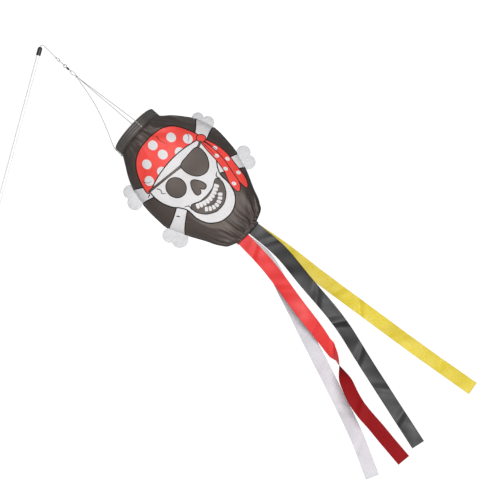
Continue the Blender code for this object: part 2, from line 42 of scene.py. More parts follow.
# Flight frame, as in the CAD.
FLIGHT_ANGLE = math.radians(28.0)
CAP_TOP = 1.2065
LINE_RISE = 0.005
ALONG = np.array((math.cos(FLIGHT_ANGLE), 0.0, -math.sin(FLIGHT_ANGLE)))
DEEP = np.array((0.0, 1.0, 0.0))
ACROSS = np.array((math.sin(FLIGHT_ANGLE), 0.0, math.cos(FLIGHT_ANGLE)))
FLIGHT_ORIGIN = np.array((0.0, 0.0, CAP_TOP + LINE_RISE))

# Camera: a long lens, rolled so that the pole leans, and turned a little towards the tail.
TARGET = Vector((0.4752, 0.0, 0.9363))
CAMERA_ROLL = math.radians(14.5)
CAMERA_TURN = math.radians(6.5)
CAMERA_DISTANCE = 4.2
PICTURE_WIDTH = 0.917

# Studio: each light's place, target, width and power, and the floor.
LIGHTS = {
    "key": ((1.00, -2.65, 1.00), (0.42, 0.0, 0.98), 1.0, 72.0),
    "back": ((-0.5, 2.7, 1.5), (0.42, 0.0, 0.98), 1.4, 26.0),
    "above": ((0.4, 0.9, 3.4), (0.42, 0.3, 0.0), 2.4, 10.0),
}
WORLD_SEEN = 1.05
WORLD_LIGHT = 0.21
WORLD_COLOUR = (0.97, 0.985, 1.0, 1.0)
FLOOR_RADIUS = 3.0
FLOOR_MIDDLE = 0.3
FLOOR_HEIGHT = -0.002
FLOOR_CORNERS = 96

# Cords and knots.
CORD_DIAMETER = 0.0012
CORD_PITCH = 0.0042
CORD_STRANDS = 3
LINE_KNOT_AT = 0.0385
LINE_KNOT_SIZE = (0.0044, 0.0034)
SNAP_LOOP_AT = 0.04685
BRIDLE_LOOP_AT = 0.07515
BRIDLE_KNOT_AT = 0.09095
BRIDLE_KNOT_SIZE = (0.0060, 0.0044)
ANCHOR_KNOT_AT = 0.2535
ANCHOR_KNOT_OUT = 0.0517
ANCHOR_KNOT_SIZE = (0.0030, 0.0028)
BRIDLE_ANGLES = {"front": 76.0, "back": -84.0, "side": 184.0}

# Mouth, sock, tail.
MOUTH_AT = 0.2465
MOUTH_RADIUS = 0.0500
BAND_LENGTH = 0.0186
BAND_WALL = 0.0010
BAND_INNER = 0.0464
SOCK_LENGTH = 0.2745
SEAM_GAP = 0.0006
SEAM_RADIUS = 0.0011
CLOTH = 0.0003
PANEL_ROWS = 88
PANEL_COLUMNS = 60
PRINT_CLEARANCE = 0.0011
SMALLEST_TRIANGLE = 1e-10
SOCK_STATIONS = (
    (0.0083, -0.0486, 0.0486, 0.0486),
    (0.0112, -0.0502, 0.0504, 0.0502),
    (0.0250, -0.0590, 0.0640, 0.0500),
    (0.0450, -0.0720, 0.0790, 0.0500),
    (0.0720, -0.0840, 0.0945, 0.0490),
    (0.1000, -0.0905, 0.1010, 0.0470),
    (0.1350, -0.0930, 0.0995, 0.0440),
    (0.1650, -0.0915, 0.0945, 0.0400),
    (0.1950, -0.0790, 0.0840, 0.0350),
    (0.2300, -0.0620, 0.0670, 0.0270),
    (0.2570, -0.0490, 0.0540, 0.0180),
    (0.2680, -0.0400, 0.0440, 0.0130),
    (0.2745, -0.0265, 0.0265, 0.0090),
)
HEM_AT = 0.5213
HEM_LENGTH = 0.0050
TAIL_HALF = (0.0265, 0.0090)
STREAMERS_AT = 0.5266

# Streamers: place across, place in depth, and rows of distance, across, depth and twist in degrees.
STREAMER_WIDTH = 0.025
STREAMER_SPACING = 0.002
STREAMER_ROOT_DEPTH = 0.0062
STREAMERS = {
    "red": (-1, -1, (
        (0.000, 0.0000, 0.0000, 0), (0.060, -0.0045, -0.0018, 4), (0.160, -0.0225, -0.0158, -6),
        (0.240, -0.0375, -0.0078, 32), (0.280, -0.0485, -0.0098, 70), (0.315, -0.0645, -0.0158, 150),
        (0.350, -0.0785, -0.0238, 176), (0.420, -0.0895, -0.0298, 184), (0.488, -0.0985, -0.0238, 178),
    )),
    "black": (1, -1, (
        (0.000, 0.0000, 0.0000, 0), (0.060, 0.0025, 0.0002, -4), (0.140, -0.0075, -0.0098, 4),
        (0.240, -0.0215, -0.0018, -4), (0.310, -0.0405, -0.0118, 6), (0.400, -0.0645, -0.0038, -4),
        (0.488, -0.0875, -0.0098, 2),
    )),
    "white": (-1, 1, (
        (0.000, 0.0000, 0.0000, 0), (0.050, 0.0025, 0.0018, 4), (0.130, -0.0235, 0.0138, -6),
        (0.220, -0.0575, 0.0058, 4), (0.310, -0.0915, 0.0178, -6), (0.400, -0.1275, 0.0078, 4),
        (0.466, -0.1605, 0.0138, 0),
    )),
    "yellow": (1, 1, (
        (0.000, 0.0000, 0.0000, 0), (0.060, 0.0085, 0.0018, 6), (0.150, 0.0165, 0.0158, -4),
        (0.260, 0.0275, 0.0058, 5), (0.370, 0.0395, 0.0178, -5), (0.492, 0.0545, 0.0098, 3),
    )),
}

# Cord routes, the CAD's own points.
POLE_LINE_ROUTE = (
    (0.0000, 0.0007), (0.0001, 0.0016), (0.0006, 0.0026), (0.0015, 0.0035), (0.0028, 0.0040),
    (0.0043, 0.0038), (0.0060, 0.0030), (0.0080, 0.0019), (0.0105, 0.0005), (0.0135, -0.0012),
    (0.0170, -0.0031), (0.0205, -0.0051), (0.0240, -0.0072), (0.0275, -0.0093), (0.0318, -0.0117),
)
LINE_LOOP_ROUTE = (
    (-0.0057, -0.0011), (-0.0050, -0.0015), (-0.0041, -0.0019), (-0.0031, -0.0022), (-0.0020, -0.0022),
    (-0.0010, -0.0018), (-0.0003, -0.0010), (0.0000, 0.0000), (-0.0003, 0.0010), (-0.0010, 0.0018),
    (-0.0020, 0.0022), (-0.0031, 0.0022), (-0.0041, 0.0019), (-0.0050, 0.0015), (-0.0057, 0.0011),
)
BRIDLE_LOOP_ROUTE = (
    (0.0125, -0.0009), (0.0106, -0.0016), (0.0086, -0.0023), (0.0066, -0.0027), (0.0046, -0.0026),
    (0.0028, -0.0022), (0.0014, -0.0016), (0.0004, -0.0009), (0.0000, 0.0000), (0.0004, 0.0009),
    (0.0014, 0.0016), (0.0028, 0.0022), (0.0046, 0.0026), (0.0066, 0.0027), (0.0086, 0.0023),
    (0.0106, 0.0016), (0.0125, 0.0009),
)
BRIDLE_ROUTE = (
    (0.0942, 0.0013, 0.0000), (0.1030, 0.0038, 0.0008), (0.1130, 0.0075, 0.0022),
    (0.1230, 0.0112, 0.0037), (0.1340, 0.0152, 0.0050), (0.1450, 0.0192, 0.0060),
    (0.1560, 0.0232, 0.0066), (0.1670, 0.0272, 0.0067), (0.1780, 0.0312, 0.0064),
    (0.1890, 0.0351, 0.0057), (0.2000, 0.0391, 0.0046), (0.2100, 0.0427, 0.0034),
    (0.2190, 0.0459, 0.0021), (0.2270, 0.0486, 0.0010), (0.2330, 0.0503, 0.0003),
    (0.2370, 0.0510, 0.0000), (0.2420, 0.0511, 0.0000), (0.2470, 0.0511, 0.0000),
    (0.2518, 0.0511, 0.0000),
)

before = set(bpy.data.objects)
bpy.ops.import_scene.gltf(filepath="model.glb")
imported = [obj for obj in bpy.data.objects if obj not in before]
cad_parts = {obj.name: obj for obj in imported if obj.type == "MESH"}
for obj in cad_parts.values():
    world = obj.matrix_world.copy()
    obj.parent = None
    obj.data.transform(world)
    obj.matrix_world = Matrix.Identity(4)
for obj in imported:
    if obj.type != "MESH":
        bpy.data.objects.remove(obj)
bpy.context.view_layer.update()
scene = bpy.context.scene


# Shared geometry.


def fly(points):
    """World points from flight-frame rows of (a, y, t)."""
    points = np.asarray(points, float)
    return FLIGHT_ORIGIN + points[..., 0:1] * ALONG + points[..., 1:2] * DEEP + points[..., 2:3] * ACROSS


def rows_at(rows, where):
    """Values at places on a smooth curve through rows, which start with their place."""
    table = np.array(rows, float)
    places = table[:, 0]
    slopes = np.gradient(table[:, 1:], places, axis=0)
    where = np.atleast_1d(np.asarray(where, float))
    i = np.clip(np.searchsorted(places, where) - 1, 0, len(places) - 2)
    step = (places[i + 1] - places[i])[:, None]
    x = ((where - places[i])[:, None]) / step
    low, high = table[i, 1:], table[i + 1, 1:]
    return (
        (2 * x**3 - 3 * x**2 + 1) * low
        + (x**3 - 2 * x**2 + x) * step * slopes[i]
        + (3 * x**2 - 2 * x**3) * high
        + (x**3 - x**2) * step * slopes[i + 1]
    )


def travelled(points):
    """How far along a path each of its points is."""
    return np.r_[0, np.cumsum(np.linalg.norm(np.diff(points, axis=0), axis=1))]


def full_turn(count):
    """Angles evenly spaced round a circle."""
    return 2 * math.pi * np.arange(count) / count


def smooth_path(points, spacing):
    points = np.array(points, float)
    lengths = travelled(points)
    count = max(4, round(lengths[-1] / spacing))
    return rows_at(np.column_stack([lengths, points]), np.linspace(0, lengths[-1], count + 1))


def unit(vectors):
    return vectors / np.maximum(np.linalg.norm(vectors, axis=-1, keepdims=True), 1e-12)


def add_mesh(name, points, faces, looks, kinds=None, normals=None):
    mesh = bpy.data.meshes.new(name)
    mesh.from_pydata(np.asarray(points).tolist(), [], [tuple(int(i) for i in f) for f in faces])
    for look in looks:
        mesh.materials.append(look)
    if kinds is not None:
        mesh.polygons.foreach_set("material_index", np.asarray(kinds, np.int32))
    mesh.shade_smooth()
    mesh.validate()
    if normals is not None:
        mesh.normals_split_custom_set_from_vertices(np.asarray(normals).tolist())
    obj = bpy.data.objects.new(name, mesh)
    scene.collection.objects.link(obj)
    return obj


def settle(obj, body, nodes=()):
    """The piece rides on a body and stands for some CAD nodes, which it hides."""
    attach(obj, body)
    if nodes:
        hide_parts(*nodes)
    return obj


def ring_round(along, deep, wide, turns):
    """Flight-frame points of an oval ring at a place along the sock, from its half depth and half width."""
    along = np.broadcast_to(along, turns.shape)
    return np.column_stack([along, -deep * np.sin(turns), wide * np.cos(turns)])


def grid_faces(rows, columns, wrap_rows=False, wrap_columns=False):
    """Quads of a grid whose point (i, j) has the number i * columns + j."""
    faces = []
    for i in range(rows if wrap_rows else rows - 1):
        for j in range(columns if wrap_columns else columns - 1):
            k, m = (i + 1) % rows, (j + 1) % columns
            faces.append((i * columns + j, k * columns + j, k * columns + m, i * columns + m))
    return faces


def tube(path, radius, sides=12, strands=0, pitch=1.0, closed=False):
    """Points and faces of a tube along a path, with the bumps of a laid cord where it has strands."""
    path = np.asarray(path, float)
    if closed:
        heading = unit(np.roll(path, -1, axis=0) - np.roll(path, 1, axis=0))
    else:
        heading = unit(np.gradient(path, axis=0))
    side = np.cross(heading[0], (0.31, 0.17, 0.93))
    frames = []
    for way in heading:
        side = side - way * side.dot(way)
        side = side / np.linalg.norm(side)
        frames.append((side, np.cross(way, side)))
    distances = travelled(path)
    angles = full_turn(sides)
    points = []
    for centre, (first, second), at in zip(path, frames, distances):
        swell = np.ones(sides)
        if strands:
            swell = 0.96 + 0.10 * np.cos(strands * (angles - 2 * math.pi * at / pitch))
        ring = np.cos(angles)[:, None] * first + np.sin(angles)[:, None] * second
        points.append(centre + radius * ring * swell[:, None])
    points = np.concatenate(points)
    faces = [f[::-1] for f in grid_faces(len(path), sides, closed, True)]
    if not closed:
        last = (len(path) - 1) * sides
        tips = heading[[0, -1]] * radius * 0.5
        points = np.vstack([points, path[0] - tips[0], path[-1] + tips[1]])
        low, high = len(points) - 2, len(points) - 1
        for j in range(sides):
            m = (j + 1) % sides
            faces.append((low, m, j))
            faces.append((high, last + j, last + m))
    return points, faces


def laid_cord(name, path, look):
    points, faces = tube(path, CORD_DIAMETER / 2, 12, CORD_STRANDS, CORD_PITCH)
    return add_mesh(name, points, faces, [look])


def tied_knot(name, centre, along, out, size, look):
    """An overhand knot: one strand of cord round a three-leaved path."""
    turn = np.linspace(0, 2 * math.pi, 96, endpoint=False)
    leaves = np.column_stack([
        np.sin(turn) + 2 * np.sin(2 * turn), np.cos(turn) - 2 * np.cos(2 * turn), -np.sin(3 * turn),
    ])
    radius = CORD_DIAMETER / 2
    reach = np.array([size[0] / 2 - radius, size[1] / 2 - radius, size[1] / 2 - radius]) / (3.0, 3.0, 1.0)
    leaves = leaves * reach
    third = np.cross(along, out)
    path = centre + leaves[:, 0:1] * along + leaves[:, 1:2] * out + leaves[:, 2:3] * third
    points, faces = tube(path, radius * 1.05, 10, closed=True)
    return add_mesh(name, points, faces, [look])


# Materials.


def feed(tree, made, inputs):
    """Sets a node's inputs to values, or links them where they are another node's outputs."""
    for key, value in inputs.items():
        if isinstance(value, bpy.types.NodeSocket):
            tree.links.new(value, made.inputs[key])
        else:
            made.inputs[key].default_value = value


def node(tree, kind, inputs=None, **values):
    made = tree.nodes.new(kind)
    for key, value in values.items():
        setattr(made, key, value)
    feed(tree, made, inputs or {})
    return made


def base_material(name, colour, roughness, metallic=0.0, sheen=0.0, coat=0.0, specular=0.5):
    made = bpy.data.materials.new(name)
    made.use_nodes = True
    shader = made.node_tree.nodes["Principled BSDF"]
    feed(made.node_tree, shader, {
        "Base Color": (*colour, 1.0), "Roughness": roughness, "Metallic": metallic,
        "Sheen Weight": sheen, "Coat Weight": coat, "Specular IOR Level": specular,
    })
    made.diffuse_color = (*colour, 1.0)
    return made, made.node_tree, shader


def on_object(tree):
    """Texture coordinates in metres."""
    return node(tree, "ShaderNodeTexCoord").outputs["Object"]


def mapped(tree, **inputs):
    """Texture coordinates in metres, turned or stretched."""
    inputs["Vector"] = on_object(tree)
    return node(tree, "ShaderNodeMapping", inputs).outputs["Vector"]


def mixed(tree, first, second, factor):
    first, second = [(*c, 1.0) if isinstance(c, tuple) else c for c in (first, second)]
    mix = node(tree, "ShaderNodeMix", {"A": first, "B": second, "Factor": factor}, data_type="RGBA")
    return mix.outputs["Result"]


def ramp(tree, source, low, high, out_low=0.0, out_high=1.0):
    inputs = {"Value": source, "From Min": low, "From Max": high, "To Min": out_low, "To Max": out_high}
    return node(tree, "ShaderNodeMapRange", inputs).outputs["Result"]


def noise(tree, where, scale, detail=3.0):
    inputs = {"Vector": where, "Scale": scale, "Detail": detail}
    return node(tree, "ShaderNodeTexNoise", inputs).outputs["Fac"]


def wave(tree, where, scale, direction):
    inputs = {"Vector": where, "Scale": scale, "Distortion": 0.6, "Detail Scale": 2.0}
    return node(tree, "ShaderNodeTexWave", inputs, bands_direction=direction).outputs["Fac"]


def bump(tree, shader, height, strength, distance):
    made = node(tree, "ShaderNodeBump", {"Height": height, "Strength": strength, "Distance": distance})
    feed(tree, shader, {"Normal": made.outputs["Normal"]})


def woven(name, colour, worn, roughness, sheen, specular, gloss=(1.0, 1.0, 1.0)):
    """Thin woven nylon: threads both ways, a little uneven dye and gloss."""
    made, tree, shader = base_material(name, colour, roughness, 0.0, sheen, 0.0, specular)
    where = mapped(tree, Rotation=(0.0, -FLIGHT_ANGLE, 0.0))
    cloud = noise(tree, where, 22.0, 4.0)
    fine = noise(tree, where, 420.0, 2.0)
    shade = mixed(tree, colour, worn, ramp(tree, cloud, 0.35, 0.75))
    dim = tuple(c * 0.72 for c in colour)
    feed(tree, shader, {
        "Base Color": mixed(tree, shade, dim, ramp(tree, fine, 0.45, 0.8, 0.0, 0.5)),
        "Roughness": ramp(tree, cloud, 0.3, 0.7, roughness - 0.06, roughness + 0.08),
        "Specular Tint": (*gloss, 1.0), "Sheen Roughness": 0.4,
        "Sheen Tint": (*[min(1.0, c * 1.4 + 0.15) for c in colour], 1.0),
    })
    threads = {0: wave(tree, where, 320.0, "X"), 1: wave(tree, where, 320.0, "Z")}
    weave = node(tree, "ShaderNodeMath", threads, operation="MULTIPLY")
    bump(tree, shader, weave.outputs["Value"], 0.25, 0.00015)
    return made


def grained(name, base, roughness, scale, detail, relief,
            metallic=0.0, colours=None, edges=None, rough=None):
    """A surface whose fine grain varies its colour, its roughness and its height."""
    made, tree, shader = base_material(name, base, roughness, metallic)
    grain = noise(tree, on_object(tree), scale, detail)
    if rough:
        feed(tree, shader, {"Roughness": ramp(tree, grain, 0.3, 0.7, *rough)})
    if colours:
        feed(tree, shader, {"Base Color": mixed(tree, *colours, ramp(tree, grain, *edges))})
    bump(tree, shader, grain, relief, 0.0001)
    return made


def metal_material(name, colour, roughness):
    worn = tuple(c * 0.55 for c in colour)
    return grained(name, colour, roughness, 900.0, 3.0, 0.15, 1.0, (colour, worn), (0.5, 0.8),
                   (roughness - 0.1, roughness + 0.15))


def rod_material():
    """Glass fibre under a clear skin, with long pale fibres."""
    made, tree, shader = base_material("fibreglass", (0.88, 0.88, 0.87), 0.38, coat=0.1)
    fibres = noise(tree, mapped(tree, Scale=(900.0, 900.0, 18.0)), 1.0, 3.0)
    pale, dull = (0.90, 0.90, 0.89), (0.74, 0.74, 0.73)
    feed(tree, shader, {"Base Color": mixed(tree, pale, dull, ramp(tree, fibres, 0.4, 0.75))})
    bump(tree, shader, fibres, 0.12, 0.0001)
    return made


def floor_material():
    made, tree, shader = base_material("studio_floor", (0.90, 0.90, 0.90), 0.8)
    cloud = noise(tree, on_object(tree), 3.0)
    feed(tree, shader, {"Base Color": mixed(tree, (0.90, 0.90, 0.90), (0.88, 0.88, 0.88), cloud)})
    return made


LOOKS = {
    # The cord is white; its mid grey colour is painted shade on the thin strands.
    "cord": grained("cord", (0.42, 0.42, 0.42), 0.8, 1400.0, 2.0, 0.4,
                    colours=((0.40, 0.40, 0.40), (0.22, 0.22, 0.23)), edges=(0.4, 0.8)),
    "steel": metal_material("sleeve_steel", (0.55, 0.55, 0.56), 0.32),
    "dark_steel": metal_material("dark_steel", (0.045, 0.043, 0.042), 0.42),
    "fibreglass": rod_material(),
    "rubber": grained("cap_black", (0.018, 0.018, 0.018), 0.38, 1800.0, 3.0, 0.12, rough=(0.3, 0.46),
                      colours=((0.016, 0.016, 0.016), (0.032, 0.031, 0.030)), edges=(0.4, 0.7)),
    "hoop": grained("hoop", (0.55, 0.55, 0.53), 0.4, 600.0, 3.0, 0.1, rough=(0.34, 0.5)),
}
FABRICS = {
    # name, colour, colour where it is worn, roughness, sheen, gloss and the gloss's own tint
    "nylon": ("nylon_black", (0.0155, 0.0105, 0.009), (0.0235, 0.016, 0.0135), 0.60, 0.0, 1.0,
              (1.0, 0.87, 0.80)),
    "ink": ("nylon_ink", (0.008, 0.007, 0.007), (0.012, 0.011, 0.011), 0.65, 0.0, 0.15),
    "print_white": ("nylon_white", (0.61, 0.595, 0.60), (0.55, 0.535, 0.54), 0.6, 0.0, 0.3),
    "print_red": ("nylon_red", (0.74, 0.055, 0.042), (0.64, 0.042, 0.034), 0.55, 0.0, 0.35),
    "band": ("band_black", (0.034, 0.029, 0.027), (0.050, 0.044, 0.041), 0.58, 0.0, 1.0, (1.0, 0.94, 0.90)),
    "thread": ("thread_black", (0.016, 0.014, 0.013), (0.024, 0.022, 0.021), 0.8, 0.0, 0.1),
    "thread_white": ("thread_white", (0.62, 0.62, 0.63), (0.55, 0.55, 0.56), 0.7, 0.1, 0.3),
    "bone": ("bone_white", (0.58, 0.575, 0.59), (0.52, 0.515, 0.53), 0.62, 0.1, 0.3),
    "ribbon_red": ("ribbon_red", (0.66, 0.030, 0.030), (0.58, 0.024, 0.025), 0.5, 0.0, 0.35),
    # the red ribbon's back: the same red cloth darkened, painted shade where it turns away
    "ribbon_red_painted_shade": ("ribbon_red_painted_shade", (0.24, 0.004, 0.006), (0.20, 0.004, 0.006), 0.7, 0.0, 0.12),
    "ribbon_black": ("ribbon_black", (0.0125, 0.012, 0.012), (0.019, 0.018, 0.018), 0.50, 0.0, 0.42),
    "ribbon_white": ("ribbon_white", (0.56, 0.545, 0.575), (0.50, 0.485, 0.515), 0.6, 0.0, 0.3),
    "ribbon_yellow": ("ribbon_yellow", (0.62, 0.49, 0.032), (0.53, 0.41, 0.026), 0.55, 0.0, 0.35),
}
LOOKS.update({key: woven(*values) for key, values in FABRICS.items()})


# Studio: camera, lights and floor.


def add_camera():
    across = Vector((math.cos(CAMERA_ROLL), 0, math.sin(CAMERA_ROLL)))
    up = Vector((-math.sin(CAMERA_ROLL), 0, math.cos(CAMERA_ROLL)))
    turn = Matrix.Rotation(CAMERA_TURN, 3, Vector(ACROSS))
    across, up, ahead = turn @ across, turn @ up, turn @ Vector((0, 1, 0))
    data = bpy.data.cameras.new("camera")
    data.sensor_width = 36.0
    data.lens = data.sensor_width * CAMERA_DISTANCE / PICTURE_WIDTH
    data.clip_end = 50.0
    camera = bpy.data.objects.new("camera", data)
    place = TARGET - ahead * CAMERA_DISTANCE
    camera.matrix_world = Matrix((
        (across.x, up.x, -ahead.x, place.x),
        (across.y, up.y, -ahead.y, place.y),
        (across.z, up.z, -ahead.z, place.z),
        (0, 0, 0, 1),
    ))
    scene.collection.objects.link(camera)
    scene.camera = camera


def add_light(name, place, target, size, power):
    data = bpy.data.lights.new(name, "AREA")
    data.shape = "DISK"
    data.size = size
    data.energy = power
    light = bpy.data.objects.new(name, data)
    light.location = place
    light.rotation_euler = (Vector(target) - Vector(place)).to_track_quat("-Z", "Y").to_euler()
    scene.collection.objects.link(light)


def add_studio():
    add_camera()
    for name, values in LIGHTS.items():
        add_light(name, *values)
    world = bpy.data.worlds.new("studio")
    scene.world = world
    world.use_nodes = True
    tree = world.node_tree
    seen = tree.nodes["Background"]
    feed(tree, seen, {"Color": (1, 1, 1, 1), "Strength": WORLD_SEEN})
    lit = node(tree, "ShaderNodeBackground", {"Color": WORLD_COLOUR, "Strength": WORLD_LIGHT})
    mix = node(tree, "ShaderNodeMixShader", {
        "Fac": node(tree, "ShaderNodeLightPath").outputs["Is Camera Ray"],
        1: lit.outputs["Background"],
        2: seen.outputs["Background"],
    })
    feed(tree, tree.nodes["World Output"], {"Surface": mix.outputs["Shader"]})
    scene.view_settings.view_transform = "Standard"
    turn = full_turn(FLOOR_CORNERS)
    rim = np.column_stack([
        FLOOR_RADIUS * np.cos(turn) + FLOOR_MIDDLE, FLOOR_RADIUS * np.sin(turn),
        np.full(FLOOR_CORNERS, FLOOR_HEIGHT),
    ])
    floor = add_mesh("floor", rim, [tuple(range(FLOOR_CORNERS))], [floor_material()])


# Cords.


def add_line():
    look = LOOKS["cord"]
    path = smooth_path([(x, 0, CAP_TOP + z) for x, z in POLE_LINE_ROUTE], 0.0003)
    line = laid_cord("line_cord", path, look)
    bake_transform(line)
    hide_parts("pole_line")
    knot = tied_knot("line_knot", fly((LINE_KNOT_AT, 0, 0)), ALONG, ACROSS, LINE_KNOT_SIZE, look)
    settle(knot, "line", ["pole_line_knot"])
    loop = smooth_path([(SNAP_LOOP_AT + a, 0, t) for a, t in LINE_LOOP_ROUTE], 0.0003)
    loop = laid_cord("line_loop", fly(loop), look)
    settle(loop, "line", ["pole_line_loop"])


def add_bridle():
    look = LOOKS["cord"]
    loop = smooth_path([(BRIDLE_LOOP_AT + a, 0, t) for a, t in BRIDLE_LOOP_ROUTE], 0.0003)
    loop = laid_cord("bridle_loop_cord", fly(loop), look)
    settle(loop, "sock", ["bridle_loop"])
    knot = tied_knot("bridle_main_knot", fly((BRIDLE_KNOT_AT, 0, 0)), ALONG, ACROSS, BRIDLE_KNOT_SIZE, look)
    settle(knot, "sock", ["bridle_knot"])
    for name, degrees in BRIDLE_ANGLES.items():
        angle = math.radians(degrees)
        bow = 1.0 if name == "side" else 0.0
        out = np.array((0.0, -math.sin(angle), math.cos(angle)))
        route = [np.array((a, 0, 0)) + out * (r - bow * b) for a, r, b in BRIDLE_ROUTE]
        path = fly(smooth_path(route, 0.0004))
        cord = laid_cord("bridle_cord_" + name, path, look)
        settle(cord, "sock", ["bridle_" + name])
        outward = out[1] * DEEP + out[2] * ACROSS
        centre = fly((ANCHOR_KNOT_AT, 0, 0)) + outward * ANCHOR_KNOT_OUT
        anchor = tied_knot(
            "anchor_knot_" + name, centre, ALONG, np.cross(ALONG, outward), ANCHOR_KNOT_SIZE, look)
        settle(anchor, "sock", ["bridle_knot_" + name])


# Stitches.

STITCH_SIDES = 6
# place along a stitch, share of its radius
STITCH_PROFILE = ((0.0, 0.35), (0.18, 1.0), (0.82, 1.0), (1.0, 0.35))


def stitches(name, path, outward, look, length=0.0016, pitch=0.0027, radius=0.00022):
    """A row of short raised stitches on a path, lifted along outward."""
    lengths = travelled(path)
    count = max(2, int(lengths[-1] / pitch))
    ring = full_turn(STITCH_SIDES)
    last = (len(STITCH_PROFILE) - 1) * STITCH_SIDES
    points, faces = [], []
    for k in range(count):
        middle = lengths[-1] * (k + 0.5) / count
        ends = np.array([
            [np.interp(middle + side * length / 2, lengths, path[:, axis]) for axis in range(3)]
            for side in (-1, 1)
        ])
        lift = np.array([np.interp(middle, lengths, outward[:, axis]) for axis in range(3)])
        way = unit(ends[1] - ends[0])
        third = unit(np.cross(way, lift))
        start = len(points)
        for place, size in STITCH_PROFILE:
            centre = ends[0] + (ends[1] - ends[0]) * place
            for a in ring:
                points.append(centre + size * radius * (math.cos(a) * lift + math.sin(a) * third))
        sides = grid_faces(len(STITCH_PROFILE), STITCH_SIDES, wrap_columns=True)
        faces += [tuple(start + i for i in face) for face in sides]
        faces.append(tuple(start + j for j in range(STITCH_SIDES)))
        faces.append(tuple(start + last + j for j in reversed(range(STITCH_SIDES))))
    return add_mesh(name, np.array(points), faces, [look])


# Mouth band.


def band_radius(turn, along):
    """How far the band's outer face stands off, in metres: cross ribs, soft unevenness and one crease."""
    ribs = 0.00014 * np.cos(2 * math.pi * along / 0.00205)
    ribs = ribs + 0.00030 * np.cos(2 * math.pi * along / 0.0047 + 0.6)
    uneven = 0.00018 * np.sin(7 * turn + 0.8) + 0.00012 * np.sin(13 * turn + 2.1) * np.cos(along / 0.004)
    crease_turn = math.radians(214.0)
    crease = -0.0007 * np.exp(-((turn - crease_turn) / 0.035) ** 2)
    return ribs + uneven + crease


def add_mouth_band():
    """A ribbed casing folded round the hoop: its section runs up the outside, over the fold and back in."""
    half = BAND_LENGTH / 2
    wall = BAND_WALL
    outer, inner = MOUTH_RADIUS, BAND_INNER
    section = [(half, outer, 1)]
    section += [(half - (BAND_LENGTH - wall) * i / 36, outer, 1) for i in range(1, 37)]
    middle, reach = (outer + inner) / 2, (outer - inner) / 2
    section += [
        (-half + wall - wall * math.sin(a), middle + reach * math.cos(a), 0)
        for a in np.linspace(0, math.pi, 11)[1:-1]
    ]
    section += [(-half + wall + (BAND_LENGTH - wall) * i / 10, inner, 0) for i in range(11)]
    section += [(half, inner + wall, 0), (-half + 2 * wall, inner + wall, 0)]
    section += [(-half + 2 * wall, outer - wall, 0), (half, outer - wall, 0)]
    turns = full_turn(220)
    points = []
    for along, radius, ribbed in section:
        out = radius + ribbed * band_radius(turns, np.full(len(turns), along))
        points.append(ring_round(MOUTH_AT + along, out, out, turns))
    faces = grid_faces(len(section), len(turns), True, True)
    band = add_mesh("mouth_band_cloth", fly(np.concatenate(points)), faces, [LOOKS["band"]])
    settle(band, "sock", ["mouth_band"])
    out = outer + 0.0002
    lift = -np.sin(turns)[:, None] * DEEP + np.cos(turns)[:, None] * ACROSS
    for k, along in enumerate((half - 0.0022, -half + 0.0030)):
        ring = ring_round(MOUTH_AT + along, out, out, turns)
        row = stitches(f"band_stitches_{k}", fly(ring), lift, LOOKS["thread"])
        settle(row, "sock")


# Sock surface.


def sock_section(s):
    """Lower edge, upper edge and half depth of the sock at distances past the mouth's middle."""
    values = rows_at(SOCK_STATIONS, s)
    return values[:, 0], values[:, 1], values[:, 2]


RIDGES = (
    # start (s, t), end (s, t), height, half width, in millimetres
    ((172, -52), (278, -24), 3.8, 15.0),
    ((20, 14), (58, 66), 2.4, 7.0),
    ((18, -6), (50, -36), 2.0, 6.0),
    ((30, 40), (88, 92), 1.2, 8.0),
    ((216, 62), (262, 14), 1.0, 7.0),
    ((205, 20), (268, 4), 0.9, 6.0),
    ((22, -34), (74, -78), 1.1, 7.0),
)
MOUTH_GATHERS = (
    # height, how far they reach, how soon they start, how many half round, how much they stray
    (0.0011, 0.016, 0.003, 34, 1.0),
    (0.0023, 0.034, 0.006, 13, 1.6),
)


def turn_at(s, t):
    """The angle round a panel at a place on the flat cloth, from 0 at its upper edge."""
    low, high, _ = sock_section(s)
    return np.arccos(np.clip((t - (low + high) / 2) / ((high - low) / 2), -1, 1))


